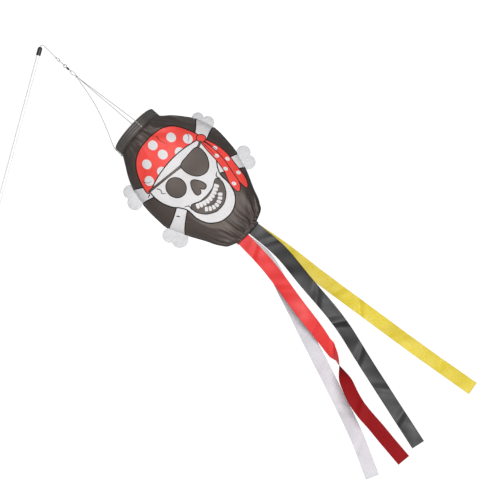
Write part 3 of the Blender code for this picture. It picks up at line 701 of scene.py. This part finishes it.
def fabric_lift(s, turn):
    """How far the cloth stands off its even shape, in metres: gathers, folds, billows and puckers."""
    low, high, _ = sock_section(s)
    t = (low + high) / 2 + (high - low) / 2 * np.cos(turn)
    edge = np.sin(turn)
    fade = np.clip(edge * 2.2, 0, 1)
    from_mouth = np.maximum(s - SOCK_STATIONS[0][0], 0)
    to_tail = SOCK_LENGTH - s
    wander = 0.9 * np.sin(3 * turn + 55 * s) + 0.6 * np.sin(5 * turn - 90 * s + 1.0)
    gathers = 0
    for height, reach, start, count, stray in MOUTH_GATHERS:
        held = np.exp(-from_mouth / reach) * (1 - np.exp(-from_mouth / start))
        gathers = gathers + height * held * np.cos(count * turn + stray * wander)
    tail_rise = np.clip(1 - to_tail / 0.062, 0, 1) ** 1.4
    near_hem = np.clip(to_tail / 0.010, 0.25, 1)
    gathers += 0.0024 * tail_rise * near_hem * np.cos(15 * turn + 0.9 * wander)
    gathers += 0.0013 * tail_rise * near_hem * np.cos(29 * turn + 2.1 * wander + 0.7)
    billow = 0.0016 * np.sin(31 * s + 2.0 * turn + 0.4) * np.sin(2 * turn + 24 * s)
    billow += 0.0009 * np.sin(64 * s - 3.0 * turn + 1.9)
    across = np.abs(np.cos(turn))
    near_seam = np.exp(-(1 - across) / 0.055)
    pucker = 0.0008 * near_seam * np.sin(2 * math.pi * s / 0.0135 + 1.3 * np.sin(70 * s) + 2.0 * turn)
    billow = billow * np.clip(from_mouth / 0.03, 0, 1) * np.clip(to_tail / 0.03, 0, 1)
    lift = (gathers + billow + pucker) * fade
    for (s0, t0), (s1, t1), height, width in RIDGES:
        start = np.array((s0, t0)) * MM
        run = np.array((s1 - s0, t1 - t0)) * MM
        length = np.linalg.norm(run)
        run = run / length
        ds, dt = s - start[0], t - start[1]
        along = (ds * run[0] + dt * run[1]) / length
        off = np.abs(dt * run[0] - ds * run[1]) / (width * MM)
        body = np.clip(4 * along * (1 - along), 0, 1) ** 0.6
        lift = lift + height * MM * body * np.exp(-off) * fade
    return lift


def sock_surface(s, turn, side):
    """Flight-frame points of a panel's outer face, side -1 in front and 1 behind."""
    low, high, depth = sock_section(s)
    half = (high - low) / 2
    lift = fabric_lift(s, turn)
    out_t, out_y = np.cos(turn) * depth, np.sin(turn) * half
    size = np.maximum(np.hypot(out_t, out_y), 1e-9)
    t = (low + high) / 2 + half * np.cos(turn) + lift * out_t / size
    y = side * (SEAM_GAP / 2 + depth * np.sin(turn) + lift * out_y / size)
    return np.column_stack([MOUTH_AT + s, y, t])


def surface_normals(s, turn, side):
    step = 0.0004
    ds = sock_surface(s + step, turn, side) - sock_surface(s - step, turn, side)
    dt = sock_surface(s, turn + 0.01, side) - sock_surface(s, turn - 0.01, side)
    return unit(np.cross(ds, dt)) * side


# Print, drawn in millimetres of (s, t).

SLANT = math.tan(CAMERA_TURN)


def smooth_loop(points, spacing=2.2):
    """A closed smooth outline through points."""
    points = np.array(points, float)
    count = len(points)
    out = []
    for i in range(count):
        p0, p1, p2, p3 = (points[(i + k - 1) % count] for k in range(4))
        steps = max(2, int(np.linalg.norm(p2 - p1) / spacing))
        for x in np.arange(steps) / steps:
            out.append(0.5 * (
                2 * p1 + (p2 - p0) * x + (2 * p0 - 5 * p1 + 4 * p2 - p3) * x**2
                + (3 * p1 - p0 - 3 * p2 + p3) * x**3
            ))
    return np.array(out)


def oval(s, t, along, across, lean=0.0, count=22):
    turn = full_turn(count)
    lean = math.radians(lean)
    x, y = along * np.cos(turn), across * np.sin(turn)
    return np.column_stack([
        s + x * math.cos(lean) - y * math.sin(lean), t + x * math.sin(lean) + y * math.cos(lean),
    ])


def area_of(outline):
    """The area inside a closed outline, positive where it runs anticlockwise."""
    later = np.roll(outline, -1, axis=0)
    return 0.5 * np.sum(outline[:, 0] * later[:, 1] - outline[:, 1] * later[:, 0])


def grown(outline, by):
    """The outline moved outwards by a distance."""
    ahead = np.roll(outline, -1, axis=0) - np.roll(outline, 1, axis=0)
    out = unit(np.column_stack([ahead[:, 1], -ahead[:, 0]])) * math.copysign(1.0, area_of(outline))
    return outline + out * by


def stroke(points, widths):
    """An open line with a width at each point."""
    points = np.array(points, float)
    lengths = travelled(points)
    places = np.linspace(0, lengths[-1], max(4, int(lengths[-1] / 2.5)) + 1)
    rows = np.column_stack([lengths, points])
    line = rows_at(rows, places)
    wide = np.interp(places, lengths, np.broadcast_to(widths, len(points)))
    ahead = unit(np.gradient(line, axis=0))
    out = np.column_stack([-ahead[:, 1], ahead[:, 0]]) * wide[:, None] / 2
    return np.vstack([line + out, (line - out)[::-1]])


def bone_shaft(start, end, half, flare):
    """A straight shaft that widens a little towards its ends."""
    start, end = np.array(start, float), np.array(end, float)
    run = unit(end - start)
    side = np.array((-run[1], run[0]))
    length = np.linalg.norm(end - start)
    places = np.linspace(0, 1, 40)
    wide = half + flare * np.abs(2 * places - 1) ** 5
    line = start + places[:, None] * run * length
    return np.vstack([line + side * wide[:, None], (line - side * wide[:, None])[::-1]])


def crossed_bones():
    return [bone_shaft((60, 137), (202, -129), 9.2, 42.0), bone_shaft((58, -134), (204, 140), 9.2, 42.0)]


def tooth(s, t, tall, wide, lean):
    x = np.array((-0.5, -0.5, -0.15, 0.35, 0.5, 0.35, -0.15, -0.5)) * tall
    y = np.array((-0.42, 0.42, 0.5, 0.42, 0.0, -0.42, -0.5, -0.45)) * wide
    lean = math.radians(lean)
    outline = np.column_stack([
        x * math.cos(lean) - y * math.sin(lean), x * math.sin(lean) + y * math.cos(lean),
    ])
    return smooth_loop(outline + (s, t), 3.0)


def tooth_row(curve, count, tall, wide, way):
    """Teeth side by side on a curve, each standing across it."""
    curve = np.array(curve, float)
    lengths = travelled(curve)
    places = lengths[-1] * (np.arange(count) + 0.5) / count
    rows = np.column_stack([lengths, curve])
    middles = rows_at(rows, places)
    ahead = rows_at(rows, places + 1.0) - rows_at(rows, places - 1.0)
    leans = np.degrees(np.arctan2(-way * ahead[:, 0], way * ahead[:, 1]))
    return [tooth(s, t, tall, wide, lean) for (s, t), lean in zip(middles, leans)]


# The print is a plain skull and crossed bones, even about its own middle line: (s, t) from that line.
PRINT_LOOKS = ("nylon", "ink", "print_white", "print_red")
FACE_MIDDLE = 1.0
SKULL_HALF = ((46, 18), (60, 44), (86, 62), (116, 66), (140, 60), (156, 49), (170, 43), (192, 42),
              (214, 33), (228, 13))
SCARF_HALF = ((28, 12), (33, 33), (48, 52), (70, 64), (93, 69), (91, 56), (86, 36), (83, 12))
EYE_PATCH = ((104, 9), (101, 30), (103, 52), (122, 54), (140, 44), (146, 30), (139, 15), (122, 7))
NOSE_HALF = ((139, 3), (150, 10), (162, 12), (165, 5), (159, 1))
MOUTH_HALF = ((177, 3), (175, 17), (168, 33), (180, 36), (197, 27), (207, 13), (209, 3))
UPPER_TEETH = ((176, -28), (182, -15), (185, 0), (182, 15), (176, 28))
LOWER_TEETH = ((190, -21), (198, -11), (201, 0), (198, 11), (190, 21))
SCARF_DOTS = ((41, 0), (56, -33), (56, 33), (66, 0), (80, -52), (80, 52), (86, -24), (86, 24))
SCARF_TAILS = (
    ((99, 69), (122, 78), (150, 82), (178, 78), (208, 71), (220, 60), (200, 60), (176, 66), (148, 69),
     (122, 66)),
    ((99, 66), (120, 62), (146, 60), (170, 55), (194, 45), (214, 45), (204, 57), (180, 64), (152, 70),
     (122, 70)),
)
TAIL_DOTS = ((128, 74), (158, 76), (190, 71), (140, 66), (168, 60), (198, 50))
FOLDS = (
    # creases drawn on the headscarf and its tails
    ((34, 18), (46, 16), (58, 20)), ((72, 60), (80, 56), (84, 48)), ((72, -60), (80, -56), (84, -48)),
    ((104, 70), (124, 73), (142, 75)), ((104, 66), (126, 65), (148, 64)),
)
BONE_MARKS = (((92, 71), (95, 69), (97, 66)), ((160, -66), (164, -63), (166, -62)),
              ((99, -74), (98, -70), (95, -67)), ((166, 72), (164, 70), (160, 68)))


def both_sides(half):
    """A closed smooth outline from its points on one side of the face's middle line."""
    near = [(s, FACE_MIDDLE + t) for s, t in half]
    far = [(s, FACE_MIDDLE - t) for s, t in reversed(half)]
    return smooth_loop(near + far)


def print_shapes():
    """(look, outline, clip outline or None) from the lowest layer to the highest."""
    scarf = both_sides(SCARF_HALF)
    patch = smooth_loop(EYE_PATCH)
    shapes = []

    def paint(look, *outlines, line=0.0, clip=None):
        """Adds outlines in a colour, over their ink lines where they have any."""
        shapes.extend(("ink", grown(outline, line), clip) for outline in outlines if line)
        shapes.extend((look, outline, clip) for outline in outlines)

    paint("print_white", *crossed_bones(), line=2.0)
    paint("ink", *[stroke(mark, (1.4, 2.4, 1.0)) for mark in BONE_MARKS])
    paint("print_white", both_sides(SKULL_HALF), line=2.2)
    paint("print_red", scarf, line=2.0)
    paint("print_white", *[oval(s, FACE_MIDDLE + t, 9.5, 8.5) for s, t in SCARF_DOTS], clip=scarf)
    for tail in SCARF_TAILS:
        tail = smooth_loop(tail)
        paint("print_red", tail, line=1.5)
        paint("print_white", *[oval(s, t, 4.5, 3.4, 15, 16) for s, t in TAIL_DOTS], clip=tail)
    paint("print_red", oval(97, 70, 8.0, 6.5, 30), line=1.5)
    paint("ink", *[stroke(fold, (1.3, 0.9, 0.5)) for fold in FOLDS])
    paint("nylon", stroke([(106, 14), (102, -10), (98, -36), (93, -66)], (6.0, 5.0, 5.0, 5.0)))
    paint("nylon", stroke([(105, 48), (103, 58), (99, 66)], (6.0, 5.0, 4.0)))
    paint("nylon", patch, oval(125, -27, 19, 17), both_sides(NOSE_HALF), both_sides(MOUTH_HALF), line=1.6)
    paint("print_white", *tooth_row(UPPER_TEETH, 9, 9.5, 6.2, 1), *tooth_row(LOWER_TEETH, 7, 8.5, 5.8, -1))
    paint("ink", stroke([(160, -43), (165, -36), (174, -38)], (1.0, 2.0, 1.0)))
    paint("ink", stroke([(160, 45), (165, 38), (174, 40)], (1.0, 2.0, 1.0)))
    paint("ink", stroke([(100, -52), (108, -49), (112, -52), (119, -47)], (1.8, 1.4, 1.6, 0.8)))
    return shapes


def inside(outline, points):
    """Which points lie inside a closed outline."""
    x, y = points[:, 0], points[:, 1]
    found = np.zeros(len(points), bool)
    before = np.roll(outline, 1, axis=0)
    for (x0, y0), (x1, y1) in zip(before, outline):
        if y0 == y1:
            continue
        crossing = ((y0 > y) != (y1 > y)) & (x < (x1 - x0) * (y - y0) / (y1 - y0) + x0)
        found ^= crossing
    return found


def on_cloth(outline):
    """An outline in metres, moved down the sock so that it is seen in its place from the front."""
    outline = np.asarray(outline, float) * MM
    s = np.clip(outline[:, 0], SOCK_STATIONS[0][0], SOCK_LENGTH)
    depth = sock_section(s)[2]
    down = outline[:, 0] + SLANT * depth * np.sin(turn_at(s, outline[:, 1]))
    return np.column_stack([down, outline[:, 1]])


def panel_border(rows, columns):
    """The panel's flat outline, with points along both edges and both ends."""
    low, high, _ = sock_section(rows)
    ends = [(low[k] + high[k]) / 2 + (high[k] - low[k]) / 2 * np.cos(columns) for k in (0, -1)]
    return np.vstack([
        np.column_stack([rows, high]),
        np.column_stack([np.full(len(columns), rows[-1]), ends[1]]),
        np.column_stack([rows, low])[::-1],
        np.column_stack([np.full(len(columns), rows[0]), ends[0]])[::-1],
    ])


def panel_fill(rows, columns, drawn):
    """A grid of points over the panel, clear of the drawn outlines."""
    low, high, _ = sock_section(rows)
    across = (low + high)[1:-1, None] / 2 + (high - low)[1:-1, None] / 2 * np.cos(columns)
    fill = np.column_stack([np.repeat(rows[1:-1], len(columns)), across.ravel()])
    keep = np.ones(len(fill), bool)
    for part in np.array_split(np.arange(len(fill)), 12):
        keep[part] = np.linalg.norm(fill[part, None] - drawn[None], axis=2).min(axis=1) > PRINT_CLEARANCE
    return fill[keep]


def triangulated(loops, fill):
    """Flat points and triangles with every loop as edges, inside the first loop only, all wound one way."""
    points, edges = [], []
    for loop in loops:
        start = len(points)
        points += [Vector(p) for p in loop]
        edges += [(start + i, start + (i + 1) % len(loop)) for i in range(len(loop))]
    points += [Vector(p) for p in fill]
    flat, _, faces, *_ = delaunay_2d_cdt(points, edges, [], 0, 1e-6, False)
    flat = np.array([tuple(p) for p in flat])
    faces = np.array([tuple(f) for f in faces])
    faces = faces[inside(loops[0], flat[faces].mean(axis=1))]
    corners = flat[faces]
    area = np.cross(corners[:, 1] - corners[:, 0], corners[:, 2] - corners[:, 0]) / 2
    faces = faces[np.abs(area) > SMALLEST_TRIANGLE]
    area = area[np.abs(area) > SMALLEST_TRIANGLE]
    faces[area < 0] = faces[area < 0][:, ::-1]
    return flat, faces


def flat_layout():
    """The panel's flat points, its triangles and their looks, cut along the print's outlines."""
    rows = np.linspace(SOCK_STATIONS[0][0], SOCK_LENGTH, PANEL_ROWS)
    columns = math.pi * np.arange(1, PANEL_COLUMNS) / PANEL_COLUMNS
    shapes = [
        (look, on_cloth(outline), None if clip is None else on_cloth(clip))
        for look, outline, clip in print_shapes()
    ]
    outlines = [outline for _, outline, _ in shapes]
    fill = panel_fill(rows, columns, np.vstack(outlines))
    flat, faces = triangulated([panel_border(rows, columns), *outlines], fill)
    centres = flat[faces].mean(axis=1)
    kinds = np.zeros(len(faces), int)
    for look, outline, clip in shapes:
        found = inside(outline, centres)
        if clip is not None:
            found &= inside(clip, centres)
        kinds[found] = PRINT_LOOKS.index(look)
    used, faces = np.unique(faces, return_inverse=True)
    return flat[used], faces.reshape(-1, 3), kinds


def doubled(faces, count):
    """Faces of a closed thin cloth: these, the same turned over count points later, and a rim."""
    faces = np.asarray(faces)
    sides = faces.shape[1]
    ends = np.concatenate([faces[:, [i, (i + 1) % sides]] for i in range(sides)])
    _, index, uses = np.unique(np.sort(ends, axis=1), axis=0, return_inverse=True, return_counts=True)
    rim = ends[uses[index.reshape(-1)] == 1]
    closed = [tuple(f) for f in faces] + [tuple(f[::-1] + count) for f in faces]
    return closed + [(b, a, a + count, b + count) for a, b in rim]


def add_panels():
    flat, faces, kinds = flat_layout()
    turn = turn_at(flat[:, 0], flat[:, 1])
    looks = [LOOKS[name] for name in PRINT_LOOKS]
    for name, side in (("front", -1), ("back", 1)):
        outer = fly(sock_surface(flat[:, 0], turn, side))
        local = surface_normals(flat[:, 0], turn, side)
        normals = local[:, 0:1] * ALONG + local[:, 1:2] * DEEP + local[:, 2:3] * ACROSS
        wound = faces if side < 0 else faces[:, ::-1]
        first = outer[wound[0]]
        face_way = np.cross(first[1] - first[0], first[2] - first[0])
        if face_way.dot(normals[wound[0][0]]) < 0:
            normals = -normals
        layers = doubled(wound, len(outer))
        painted = np.concatenate([kinds, kinds, np.zeros(len(layers) - 2 * len(kinds), int)])
        panel = add_mesh("sock_cloth_" + name, np.vstack([outer, outer - normals * CLOTH]), layers, looks,
                         painted, np.vstack([normals, -normals]))
        settle(panel, "sock", ["sock_" + name])


# Side seams, tail binding, bone ends.


def add_side_seams():
    """A folded seam along each edge of the sock."""
    s = np.linspace(0.0100, SOCK_LENGTH - 0.0004, 260)
    low, high, _ = sock_section(s)
    wobble = 0.00025 * np.sin(2 * math.pi * s / 0.0135 + 1.3 * np.sin(70 * s))
    for name, edge, side in (("upper", high, 1), ("lower", low, -1)):
        path = np.column_stack([MOUTH_AT + s, wobble, edge + side * 0.0002])
        points, faces = tube(path, SEAM_RADIUS, 10)
        points[:, 1] *= 0.7
        near_edge = np.column_stack([s, edge - side * 0.002])
        white = np.zeros(len(s), bool)
        for bone in crossed_bones():
            white |= inside(on_cloth(bone), near_edge)
        middles = np.array([points[list(face), 0].mean() - MOUTH_AT for face in faces])
        kinds = (np.interp(middles, s, white) > 0.5).astype(int)
        looks = [LOOKS["thread"], LOOKS["thread_white"]]
        seam = add_mesh("side_seam_" + name, fly(points), faces, looks, kinds)
        settle(seam, "sock")


def add_tail_binding():
    """A gathered casing round the tail's opening, with its stitches."""
    turns = full_turn(240)
    half, depth = TAIL_HALF
    front = np.where(turns <= math.pi, turns, 2 * math.pi - turns)
    folds = 0.6 * np.cos(15 * front + 0.5) + 0.4 * np.cos(29 * front + 0.9)
    start, end = HEM_AT - 0.0012, HEM_AT + HEM_LENGTH
    section = (
        # place from 0 to 1, stand-off, share of the folds
        (0.00, 0.0001, 0.2), (0.02, 0.0008, 0.5), (0.15, 0.0012, 1.0), (0.32, 0.0009, 0.9),
        (0.48, 0.0003, 0.5), (0.62, 0.0008, 0.9), (0.82, 0.0011, 1.0), (0.95, 0.0008, 0.8),
        (1.00, 0.0001, 0.4), (0.97, -0.0008, 0.2), (0.50, -0.0011, 0.2), (0.04, -0.0008, 0.2),
    )
    points = []
    for place, off, share in section:
        out = off + 0.0008 * share * folds
        along = start + (end - start) * place + 0.0004 * share * np.sin(15 * front)
        points.append(ring_round(along, depth + out, half + out, turns))
    faces = grid_faces(len(section), len(turns), True, True)
    hem = add_mesh("tail_binding", fly(np.concatenate(points)), faces, [LOOKS["nylon"]])
    settle(hem, "sock", ["tail_hem"])
    out = 0.0006
    ring = ring_round(start + (end - start) * 0.48, depth + out, half + out, turns)
    lift = unit(-np.sin(turns)[:, None] * half * DEEP + np.cos(turns)[:, None] * depth * ACROSS)
    row = settle(stitches("tail_stitches", fly(ring), lift, LOOKS["thread"]), "sock")


BONE_ENDS = {
    # lobes of (s, t, radius) in millimetres, the side of the sock, and the curl away from the print
    "upper_mouth": (((65, 94.5, 10.5), (84, 101, 11.5)), 1, 5.0),
    "upper_tail": (((171, 104.5, 12.5), (190, 97, 13.0)), 1, 1.5),
    "lower_mouth": (((65, -90.5, 12.5), (85, -98.5, 14.0)), -1, 2.0),
    "lower_tail": (((175, -99.5, 13.5), (194, -93, 15.0)), -1, -1.5),
}
BONE_ROWS = 22
BONE_CURL_AT = 0.020


def lobe_outline(lobes, side):
    """The free edge of a bone end, from one place on the sock's edge round both lobes to another."""
    (s0, t0, r0), (s1, t1, r1) = [np.array(lobe, float) * MM for lobe in lobes]
    gap = math.hypot(s1 - s0, t1 - t0)
    reach = (r0**2 - r1**2 + gap**2) / (2 * gap)
    rise = math.sqrt(max(r0**2 - reach**2, 1e-9))
    run = np.array((s1 - s0, t1 - t0)) / gap
    out = np.array((-run[1], run[0])) * side
    notch = np.array((s0, t0)) + run * reach + out * rise
    base = [np.array((s0 - 0.45 * r0, 0)), np.array((s1 + 0.45 * r1, 0))]
    outline = []
    for k, (centre, radius, foot) in enumerate((((s0, t0), r0, base[0]), ((s1, t1), r1, base[1]))):
        edge = sock_section(np.array([foot[0]]))
        foot[1] = (edge[1] if side > 0 else edge[0])[0] - side * 0.0010
        from_foot = np.array(foot) - centre
        from_notch = notch - centre
        a, b = math.atan2(from_foot[1], from_foot[0]), math.atan2(from_notch[1], from_notch[0])
        spin = -side
        if k == 1:
            a, b = b, a
        span = (b - a) * spin % (2 * math.pi)
        turn = a + spin * np.linspace(0, span, 46)
        ring = np.column_stack([centre[0] + radius * np.cos(turn), centre[1] + radius * np.sin(turn)])
        outline.append(ring)
    return np.vstack([base[0], *outline, base[1]])


def scalloped(outline, side):
    """An even path on the outline, pushed out a little between its stitches, and the way along it."""
    apart = np.r_[True, np.linalg.norm(np.diff(outline, axis=0), axis=1) > 1e-5]
    outline = smooth_path(outline[apart], 0.0006)
    lengths = travelled(outline)
    scallop = 0.0004 * np.abs(np.sin(math.pi * lengths / 0.0052))
    ahead = unit(np.gradient(outline, axis=0))
    return outline + np.column_stack([-ahead[:, 1], ahead[:, 0]]) * (side * scallop)[:, None], lengths


def bone_layers(foot, outline, lengths, curl):
    """Front and back points of a bone end between its sewn foot and its outline, with a slight fullness."""
    share = lengths / lengths[-1]
    places = np.linspace(0, 1, BONE_ROWS)
    flat = foot[None] + (outline - foot)[None] * (places[:, None, None] ** 0.85)
    across = np.sin(math.pi * np.clip(share, 0.02, 0.98))[None] ** 0.5
    rise = np.sin(math.pi * places)[:, None] ** 0.7 * across
    ripple = 0.00035 * np.sin(lengths / 0.0021)[None] * places[:, None] ** 2
    away = np.linalg.norm(flat - foot[None], axis=2) / BONE_CURL_AT
    middle = curl * MM * away**2 + ripple
    puff = 0.00018 + 0.0011 * rise
    return [
        np.column_stack([
            MOUTH_AT + flat[..., 0].ravel(), (middle + way * puff).ravel(), flat[..., 1].ravel(),
        ])
        for way in (-1, 1)
    ]


def add_bone_stitches(name, foot, outline, curl):
    """A row of stitches near the free edge, on each face."""
    inset = foot + (outline - foot) * 0.90
    level = curl * MM * (np.linalg.norm(inset - foot, axis=1) / BONE_CURL_AT) ** 2
    rows = []
    for k, way in enumerate((-1, 1)):
        path = fly(np.column_stack([MOUTH_AT + inset[:, 0], level + way * 0.00075, inset[:, 1]]))
        lift = np.repeat([way * DEEP], len(path), axis=0)
        row = stitches(f"bone_stitches_{name}_{k}", path, lift, LOOKS["thread_white"],
                       0.0014, 0.0024, 0.00018)
        rows.append(settle(row, "sock"))
    return rows


def add_bone_ends():
    """Two layers of thin white cloth, held in the side seam and a little full between their sewn edges."""
    for name, (lobes, side, curl) in BONE_ENDS.items():
        outline, lengths = scalloped(lobe_outline(lobes, side), side)
        foot_s = outline[0, 0] + (outline[-1, 0] - outline[0, 0]) * lengths / lengths[-1]
        low, high, _ = sock_section(foot_s)
        foot = np.column_stack([foot_s, (high if side > 0 else low) - side * 0.0010])
        layers = bone_layers(foot, outline, lengths, curl)
        faces = doubled(grid_faces(BONE_ROWS, len(outline)), len(layers[0]))
        bone = add_mesh("bone_cloth_" + name, fly(np.vstack(layers)), faces, [LOOKS["bone"]])
        settle(bone, "sock", ["bone_end_" + name])
        rows = add_bone_stitches(name, foot, outline, curl)


# Streamers.

RIBBON_CREASES = {
    # distance, slant across, height, half length
    "red": ((0.030, 0.5, 0.0024, 0.010), (0.110, -0.7, 0.0020, 0.012), (0.205, 0.4, 0.0020, 0.010),
            (0.262, 1.1, 0.0032, 0.010), (0.372, -0.8, 0.0028, 0.012), (0.440, 0.6, 0.0020, 0.012)),
    "black": ((0.040, -0.6, 0.0020, 0.010), (0.170, 0.9, 0.0032, 0.014), (0.232, -0.5, 0.0036, 0.012),
              (0.300, 0.8, 0.0028, 0.012), (0.372, -0.7, 0.0024, 0.012), (0.430, 0.5, 0.0020, 0.010)),
    "white": ((0.050, 0.4, 0.0024, 0.012), (0.180, -0.8, 0.0028, 0.014), (0.270, 0.6, 0.0024, 0.012),
              (0.350, -0.5, 0.0028, 0.012), (0.410, 0.9, 0.0020, 0.010)),
    "yellow": ((0.080, 0.6, 0.0020, 0.012), (0.190, -0.5, 0.0024, 0.012), (0.240, 0.8, 0.0028, 0.010),
               (0.330, -0.8, 0.0024, 0.012), (0.420, 0.5, 0.0020, 0.012)),
}
RIBBON_ACROSS = np.array(
    (-1, -0.97, -0.92, -0.88, -0.76, -0.6, -0.42, -0.22, 0, 0.22, 0.42, 0.6, 0.76, 0.88, 0.92, 0.97, 1))
RIBBON_ROWS = 230
RIBBON_PHASES = {"red": 0.4, "black": 1.7, "white": 2.9, "yellow": 4.3}
RIBBON_THICK = 0.00030
SELVEDGE_THICK = 0.00055


def ribbon_lift(distance, x, creases, phase):
    """How far the ribbon stands off its path: a slight cup, long ripples and a few pressed creases."""
    lift = 0.0009 * (x**2 - 0.4) * np.sin(2 * math.pi * distance / 0.23 + phase)
    lift += 0.0010 * x * np.sin(2 * math.pi * distance / 0.095 + 2 * phase)
    lift += 0.0005 * np.sin(2 * math.pi * distance / 0.041 + 3 * phase + 1.2 * x)
    for place, slant, height, half in creases:
        off = np.abs(distance - place - slant * x * STREAMER_WIDTH / 2) / half
        lift += height * np.clip(1 - off, 0, 1)
    return lift * np.clip(distance / 0.02, 0, 1)


def ribbon_frame(root, distance, values):
    """The ribbon's middle line, and its directions across the width and out of its face."""
    centres = np.column_stack([root[0] + distance, root[1] + values[:, 1], root[2] + values[:, 0]])
    heading = unit(np.gradient(centres, axis=0))
    wide = unit(np.cross((0.0, 1.0, 0.0), heading))
    twist = np.radians(values[:, 2])[:, None]
    wide = wide * np.cos(twist) + np.cross(heading, wide) * np.sin(twist)
    return centres, wide, np.cross(heading, wide)


def add_streamer(name, phase):
    place_across, place_deep, rows = STREAMERS[name]
    distance = np.linspace(0, rows[-1][0], RIBBON_ROWS)
    root = (
        STREAMERS_AT, place_deep * STREAMER_ROOT_DEPTH,
        place_across * (STREAMER_WIDTH + STREAMER_SPACING) / 2)
    centres, wide, face = ribbon_frame(root, distance, rows_at(rows, distance))
    grid_d, grid_x = np.meshgrid(distance, RIBBON_ACROSS, indexing="ij")
    lift = ribbon_lift(grid_d, grid_x, RIBBON_CREASES[name], phase)
    thick = np.where(np.abs(grid_x) > 0.90, SELVEDGE_THICK, RIBBON_THICK)
    thick = thick * np.where(np.abs(grid_x) == 1, 0.4, 1)
    middle = centres[:, None] + wide[:, None] * (grid_x * STREAMER_WIDTH / 2)[..., None]
    layers = [
        (middle + face[:, None] * (lift + way * thick / 2)[..., None]).reshape(-1, 3) for way in (1, -1)
    ]
    back = grid_faces(len(distance), len(RIBBON_ACROSS))
    faces = doubled(back, len(layers[0]))
    looks = [LOOKS["ribbon_" + name]]
    kinds = np.zeros(len(faces), int)
    # The red ribbon's back faces take a darker copy of its red: painted shade.
    if name == "red":
        looks.append(LOOKS["ribbon_red_painted_shade"])
        kinds[:len(back)] = 1
    ribbon = add_mesh("ribbon_" + name, fly(np.vstack(layers)), faces, looks, kinds)
    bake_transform(ribbon)
    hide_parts("streamer_" + name)


def look_at_nodes():
    """The CAD nodes that stay in view get their finished materials."""
    looks = {
        "fibreglass": ("pole_lower", "pole_upper"), "steel": ("pole_sleeve",), "rubber": ("pole_cap",),
        "cord": ("line_stop_knot",), "hoop": ("mouth_hoop",),
        "dark_steel": ("snap_frame", "snap_gate", "swivel_ring", "swivel_barrel", "swivel_eye"),
    }
    for look, names in looks.items():
        for name in names:
            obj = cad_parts[name]
            if not obj.material_slots:
                obj.data.materials.append(LOOKS[look])
            for place in obj.material_slots:
                place.material = LOOKS[look]


add_studio()
add_line()
add_bridle()
add_mouth_band()
add_panels()
add_side_seams()
add_tail_binding()
add_bone_ends()
for name, phase in RIBBON_PHASES.items():
    add_streamer(name, phase)
look_at_nodes()
